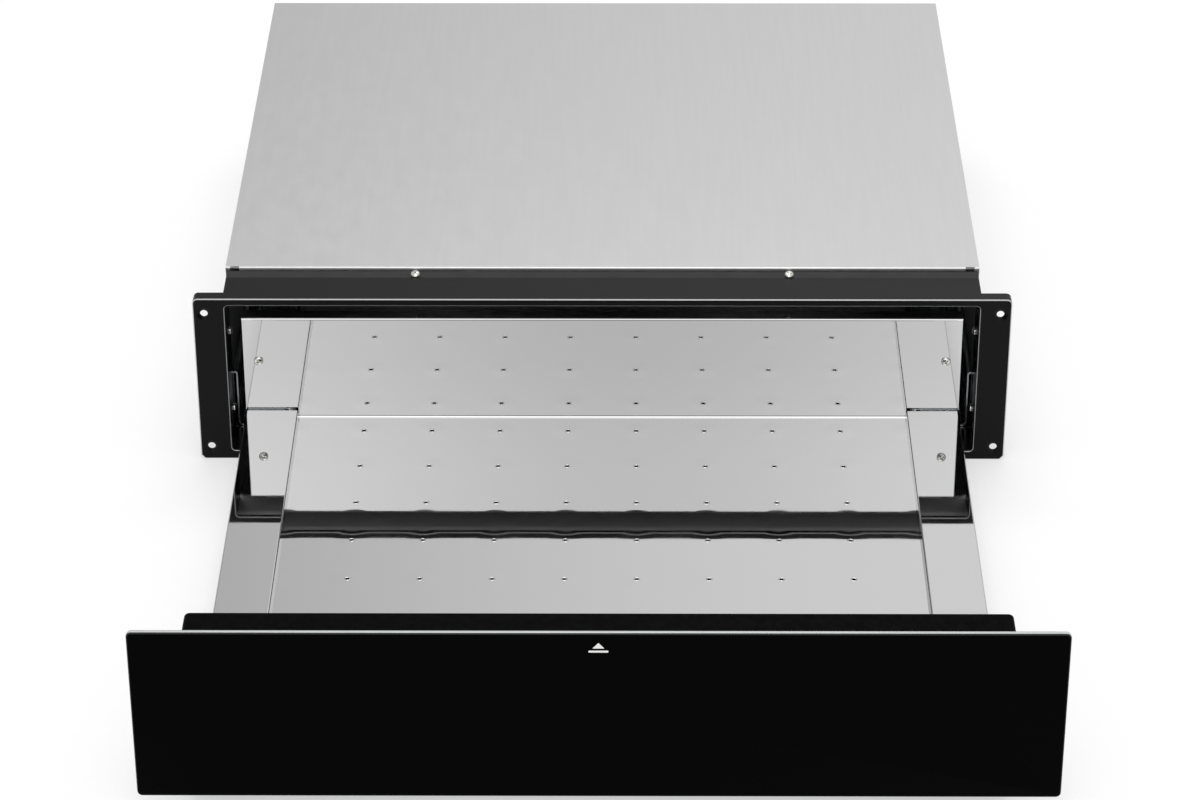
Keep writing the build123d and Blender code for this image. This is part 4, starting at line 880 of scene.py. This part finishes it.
class DRAWER_OT_make_glass_front(Operator):
    """Make the bevelled glass pane and the printed push mark"""
    bl_idname = "drawer.make_glass_front"
    bl_label = "Make Glass Front"

    def execute(self, context):
        size = sizes()
        lo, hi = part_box("glass_panel")
        middle = (lo + hi) / 2
        ink = 0.03 * MM
        thick = hi.y - lo.y - ink
        bevel = size.glass_bevel
        soft = 0.3 * bevel
        outline = rounded_outline(hi.x - lo.x, hi.z - lo.z, size.glass_corner)
        bm = bmesh.new()
        prism(bm, outline, [(bevel, 0.0), (soft, soft), (0.0, bevel), (0.0, thick - bevel),
                            (soft, thick - soft), (bevel, thick)], out_of(middle.x, hi.y, middle.z))
        bm.normal_update()
        level_face, slant_face = 0.98, 0.1
        for face in bm.faces:
            slant = abs(face.normal.y)
            face.material_index = 0 if slant > level_face else 1 if slant > slant_face else 2
        pane = as_mesh(bm, "glass_pane", 30.0)
        add_piece("glass_pane", pane, "drawer",
                  [black_glass, polished_arris, ground_glass], ["glass_panel"])

        face_y = lo.y + ink
        arrow_z = hi.z - size.mark_drop
        half, rise = size.mark_width / 2, size.mark_height / 2
        tip, toe, sole = 0.25 * MM, 0.3 * MM, 0.5 * MM
        arrow = [(-half, -rise), (half, -rise), (half - toe, -rise + sole), (tip, rise), (-tip, rise),
                 (-half + toe, -rise + sole)]
        bar_height, bar_corner, bar_drop = 1.5 * MM, 0.5 * MM, 2.3 * MM
        bar = rounded_outline(size.bar_width, bar_height, bar_corner, 4)
        bm = bmesh.new()
        prism(bm, arrow, [(0.0, 0.0), (0.0, ink)], out_of(0, face_y, arrow_z))
        prism(bm, bar, [(0.0, 0.0), (0.0, ink)], out_of(0, face_y, arrow_z - rise - bar_drop))
        add_piece("push_mark", as_mesh(bm, "push_mark"), "drawer", [ceramic_ink])
        return {"FINISHED"}


class DRAWER_OT_finish_runners(Operator):
    """Give the rails and cages their finish and make round rollers for the cages"""
    bl_idname = "drawer.finish_runners"
    bl_label = "Finish Runners"

    def execute(self, context):
        for side in ("left", "right"):
            finish([f"{rail}_rail_{side}" for rail in ("cabinet", "middle", "drawer")], bright_zinc)
            for cage in ("inner", "outer"):
                finish([f"{cage}_cage_{side}"], moulded_acetal)
                node = f"{cage}_rollers_{side}"
                bm = bmesh.new()
                for points in solids(node):
                    lo, hi = box_of(points)
                    middle = (lo + hi) / 2
                    radius, half = (hi.z - lo.z) / 2, (hi.x - lo.x) / 2
                    edge = 0.35 * MM
                    profile = [(0.0, -half), (radius - edge, -half), (radius, -half + edge),
                               (radius, half - edge), (radius - edge, half), (0.0, half)]
                    turn(bm, profile, upright_on(middle, (1, 0, 0)), SMALL_SIDES)
                add_piece(f"round_{node}", as_mesh(bm, node), f"{cage}_cage_{side}",
                          [ground_steel], [node])
        return {"FINISHED"}


class DRAWER_OT_finish_heater(Operator):
    """Give the plenum, the element, the fan and its motor their finish"""
    bl_idname = "drawer.finish_heater"
    bl_label = "Finish Heater"

    def execute(self, context):
        finish(["plenum_pan", "fan_box", "fan_impeller", "element_clips", "bulb_clip"],
               galvanised_sheet)
        finish(["heating_element"], tinted_sheath)
        finish(["motor_brackets", "fan_rotor"], bright_zinc)
        finish(["motor_stator"], stacked_laminations)
        finish(["motor_coil"], wound_copper)
        finish(["thermal_cutout"], moulded_plastic)
        finish(["capillary_bulb"], drawn_copper)
        return {"FINISHED"}


def add_knob():
    """The knob: a round skirt with soft edges, a bar grip with a crowned top, and a white pointer on it."""
    lo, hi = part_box("thermostat_knob")
    radius, tall = (hi.x - lo.x) / 2, hi.y - lo.y
    place = back_from(lo, hi)
    skirt, bore, fine, soft = 0.3 * tall, 3.1 * MM, 0.3 * MM, 1.0 * MM
    bm = bmesh.new()
    turn(bm, [(bore, 0.0), (radius - fine, 0.0), (radius, fine), (radius, skirt - soft),
              (radius - fine, skirt - fine), (radius - soft, skirt), (bore, skirt)],
         place, 2 * sizes().sides, closed=True)
    grip_width, grip_gap, grip_corner, grip_foot = 8.6 * MM, 5.0 * MM, 4.0 * MM, 0.4 * MM
    grip = rounded_outline(grip_width, 2 * radius - grip_gap, grip_corner, 8)
    crown = ((0.3 * MM, 1.2 * MM), (0.6 * MM, 0.4 * MM), (1.2 * MM, 0.0))
    prism(bm, grip, [(0.0, skirt - grip_foot)] + [(inset, tall - drop) for inset, drop in crown], place)
    add_piece("control_knob", as_mesh(bm, "control_knob", 40.0), "knob",
              [moulded_plastic], ["thermostat_knob"])

    pointer_width, pointer_length, pointer_corner = 1.0 * MM, 6.0 * MM, 0.45 * MM
    from_edge, ink, sunk = 7.5 * MM, 0.15 * MM, 0.02 * MM
    line = rounded_outline(pointer_width, pointer_length, pointer_corner, 4)
    bm = bmesh.new()
    prism(bm, line, [(0.0, tall - ink), (0.0, tall)],
          place @ Matrix.Translation((0, radius - from_edge, -sunk)))
    add_piece("knob_pointer", as_mesh(bm, "knob_pointer"), "knob", [ceramic_ink])


def add_pilot_lamp():
    """The pilot lamp: a black barrel with a rim, and a domed red lens in it."""
    sides = sizes().sides
    lo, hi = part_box("pilot_lamp")
    place = back_from(lo, hi)
    tall = hi.y - lo.y
    rim = (hi.z - lo.z) / 2
    body = 0.7 * rim
    nose, soft = 0.4 * MM, 0.5 * MM
    seat, edge, face = tall - 3.7 * MM, tall - 2.8 * MM, tall - 2.4 * MM
    bm = bmesh.new()
    turn(bm, [(0.0, 0.0), (body - nose, 0.0), (body, nose), (body, seat), (rim, seat), (rim, edge),
              (rim - soft, face), (body, face), (0.0, face)], place, sides)
    wide, dome = 0.92 * body, 1.4 * MM
    foot = tall - 2.5 * MM
    lens = [(0.0, foot), (wide, foot), (wide, tall - dome)]
    lens += [(wide * c, tall - dome + dome * s) for c, s in quarter(6)]
    turn(bm, lens + [(0.0, tall)], place, sides, material=1)
    add_piece("round_pilot_lamp", as_mesh(bm, "round_pilot_lamp"), "drawer",
              [moulded_plastic, lamp_lens], ["pilot_lamp"])


class DRAWER_OT_make_controls(Operator):
    """Finish the thermostat and the switch, and make the knob and the pilot lamp"""
    bl_idname = "drawer.make_controls"
    bl_label = "Make Controls"

    def execute(self, context):
        finish(["thermostat", "rocker_switch", "switch_rocker"], moulded_plastic)
        finish(["thermostat_shaft"], bright_zinc)
        add_knob()
        add_pilot_lamp()
        return {"FINISHED"}


def add_gland():
    """The cable gland: a ribbed neck inside the panel and a flanged head behind it, with a clear bore."""
    lo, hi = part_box("cable_gland")
    tall = hi.y - lo.y
    head, neck, bore = 6.6 * MM, 7.7 * MM, 4.5 * MM
    panel = tall - head
    flange = (hi.z - lo.z) / 2
    ribs, first_rib, rib_pitch = 3, 2.2 * MM, 3.6 * MM
    rib = ((0.9 * MM, 0.0), (0.4 * MM, 0.5 * MM), (0.4 * MM, 1.7 * MM), (0.8 * MM, 2.2 * MM))
    lip = 0.6 * MM
    profile = [(bore, 0.0), (neck - 1.5 * MM, 0.0), (neck - 1.0 * MM, lip)]
    for k in range(ribs):
        profile += [(neck - inset, first_rib + k * rib_pitch + rise) for inset, rise in rib]
    profile += [(neck, panel - 1.0 * MM), (neck, panel), (flange, panel + 0.1 * MM),
                (flange, panel + 1.6 * MM), (flange - 0.8 * MM, panel + 2.4 * MM),
                (neck + lip, panel + 3.0 * MM), (neck, tall - 0.8 * MM), (neck - 0.9 * MM, tall),
                (bore + lip, tall), (bore, tall - lip)]
    bm = bmesh.new()
    turn(bm, profile, back_from(lo, hi), sizes().sides, closed=True)
    add_piece("round_cable_gland", as_mesh(bm, "round_cable_gland"), "housing",
              [moulded_rubber], ["cable_gland"])


def add_buffers():
    """The four buffers behind the glass, each with a straight foot and a domed, flattened top."""
    bm = bmesh.new()
    for points in solids("front_buffers"):
        lo, hi = box_of(points)
        radius, tall = (hi.z - lo.z) / 2, hi.y - lo.y
        foot, flat = 0.25, 0.45
        dome = [(0.0, 0.0), (radius, 0.0), (radius, foot * tall)]
        dome += [(radius * (flat + (1 - flat) * c), tall * (foot + (1 - foot) * s)) for c, s in quarter(6)]
        turn(bm, dome + [(0.0, tall)], back_from(lo, hi), sizes().sides)
    add_piece("round_front_buffers", as_mesh(bm, "round_front_buffers"), "drawer",
              [moulded_rubber], ["front_buffers"])


class DRAWER_OT_make_rubber_parts(Operator):
    """Make the cable gland and the buffers behind the glass"""
    bl_idname = "drawer.make_rubber_parts"
    bl_label = "Make Rubber Parts"

    def execute(self, context):
        add_gland()
        add_buffers()
        return {"FINISHED"}


SCREW_BODIES = {"frame_side_screws": "housing", "cover_screws": "housing",
                "cabinet_rail_screws": "housing", "latch_screws": "housing",
                "wall_screws": "drawer", "front_screws": "drawer"}
FIRST_SPIN, NEXT_SPIN = 17, 31     # where the first cross ends its turn, and each next one, in degrees


def measure_screw(points):
    """The seat, the axis towards the head, and the measures of a plain screw, from its corners: radius and
    height of the head, radius and length of the shank."""
    rim_share, clear = 0.9, 0.2 * MM
    middle, axis = turned_axis(points)
    along = (points - np.array(middle)) @ np.array(axis)
    away = np.linalg.norm((points - np.array(middle)) - np.outer(along, np.array(axis)), axis=1)
    widest = away > rim_share * away.max()
    if along[widest].mean() < 0:
        axis, along = -axis, -along
    seat, top, tip = along[widest].min(), along.max(), along.min()
    shank = away[along < seat - clear].max()
    return middle + axis * seat, axis, (away.max(), top - seat, shank, seat - tip)


class DRAWER_OT_make_screws(Operator):
    """Make every screw with its cross recess in the place of its plain solid"""
    bl_idname = "drawer.make_screws"
    bl_label = "Make Screws"

    def execute(self, context):
        for node, body in SCREW_BODIES.items():
            bm = bmesh.new()
            mesh = None
            for count, points in enumerate(solids(node)):
                seat, axis, measures = measure_screw(points)
                if mesh is None:
                    mesh = screw_mesh(*measures, sizes().thread_pitch, sizes().sides)
                copy = bmesh.new()
                copy.from_mesh(mesh)
                spin = Matrix.Rotation(math.radians(FIRST_SPIN + NEXT_SPIN * count), 4, "Z")
                copy.transform(upright_on(seat, axis) @ spin)
                placed = bpy.data.meshes.new("placed_screw")
                copy.to_mesh(placed)
                copy.free()
                bm.from_mesh(placed)
            add_piece(f"crosshead_{node}", as_mesh(bm, node), body, [nickel_plate], [node])
        return {"FINISHED"}


class DRAWER_OT_set_stage(Operator):
    """Lay the floor, hang the lights and stand the camera where the photograph was taken"""
    bl_idname = "drawer.set_stage"
    bl_label = "Set Stage"

    def execute(self, context):
        scene = context.scene
        studio = scene.drawer_studio
        scene.view_settings.view_transform = "Standard"
        lay_floor(studio)
        scene.world = light_tent(studio)
        for name, setting, size, place, aim in LAMPS:
            hang_lamp(name, getattr(studio, setting), size, place, aim)
        stand_camera()
        return {"FINISHED"}


class DRAWER_PT_sidebar(Panel):
    """Builds the drawer's pieces and shows its sizes and colours"""
    bl_idname = "DRAWER_PT_sidebar"
    bl_label = "Warming Drawer"
    bl_space_type = "VIEW_3D"
    bl_region_type = "UI"
    bl_category = "Drawer"

    def draw(self, context):
        for operator in OPERATORS:
            self.layout.operator(operator.bl_idname)
        for group in (context.scene.drawer_colours, context.scene.drawer_sizes, context.scene.drawer_studio):
            box = self.layout.box()
            for name in group.__annotations__:
                box.prop(group, name)


GROUPS = (DrawerColours, DrawerSizes, StudioSettings)
OPERATORS = (
    DRAWER_OT_finish_housing,
    DRAWER_OT_finish_tray,
    DRAWER_OT_press_hole_rims,
    DRAWER_OT_make_glass_front,
    DRAWER_OT_finish_runners,
    DRAWER_OT_finish_heater,
    DRAWER_OT_make_controls,
    DRAWER_OT_make_rubber_parts,
    DRAWER_OT_make_screws,
    DRAWER_OT_set_stage,
)


def register():
    for item in GROUPS + OPERATORS + (DRAWER_PT_sidebar,):
        bpy.utils.register_class(item)
    bpy.types.Scene.drawer_colours = PointerProperty(type=DrawerColours)
    bpy.types.Scene.drawer_sizes = PointerProperty(type=DrawerSizes)
    bpy.types.Scene.drawer_studio = PointerProperty(type=StudioSettings)


def unregister():
    for name in ("drawer_colours", "drawer_sizes", "drawer_studio"):
        delattr(bpy.types.Scene, name)
    for item in reversed(GROUPS + OPERATORS + (DRAWER_PT_sidebar,)):
        bpy.utils.unregister_class(item)


def main():
    register()
    for operator in OPERATORS:
        group, name = operator.bl_idname.split(".")
        getattr(getattr(bpy.ops, group), name)()


if __name__ == "__main__":
    main()
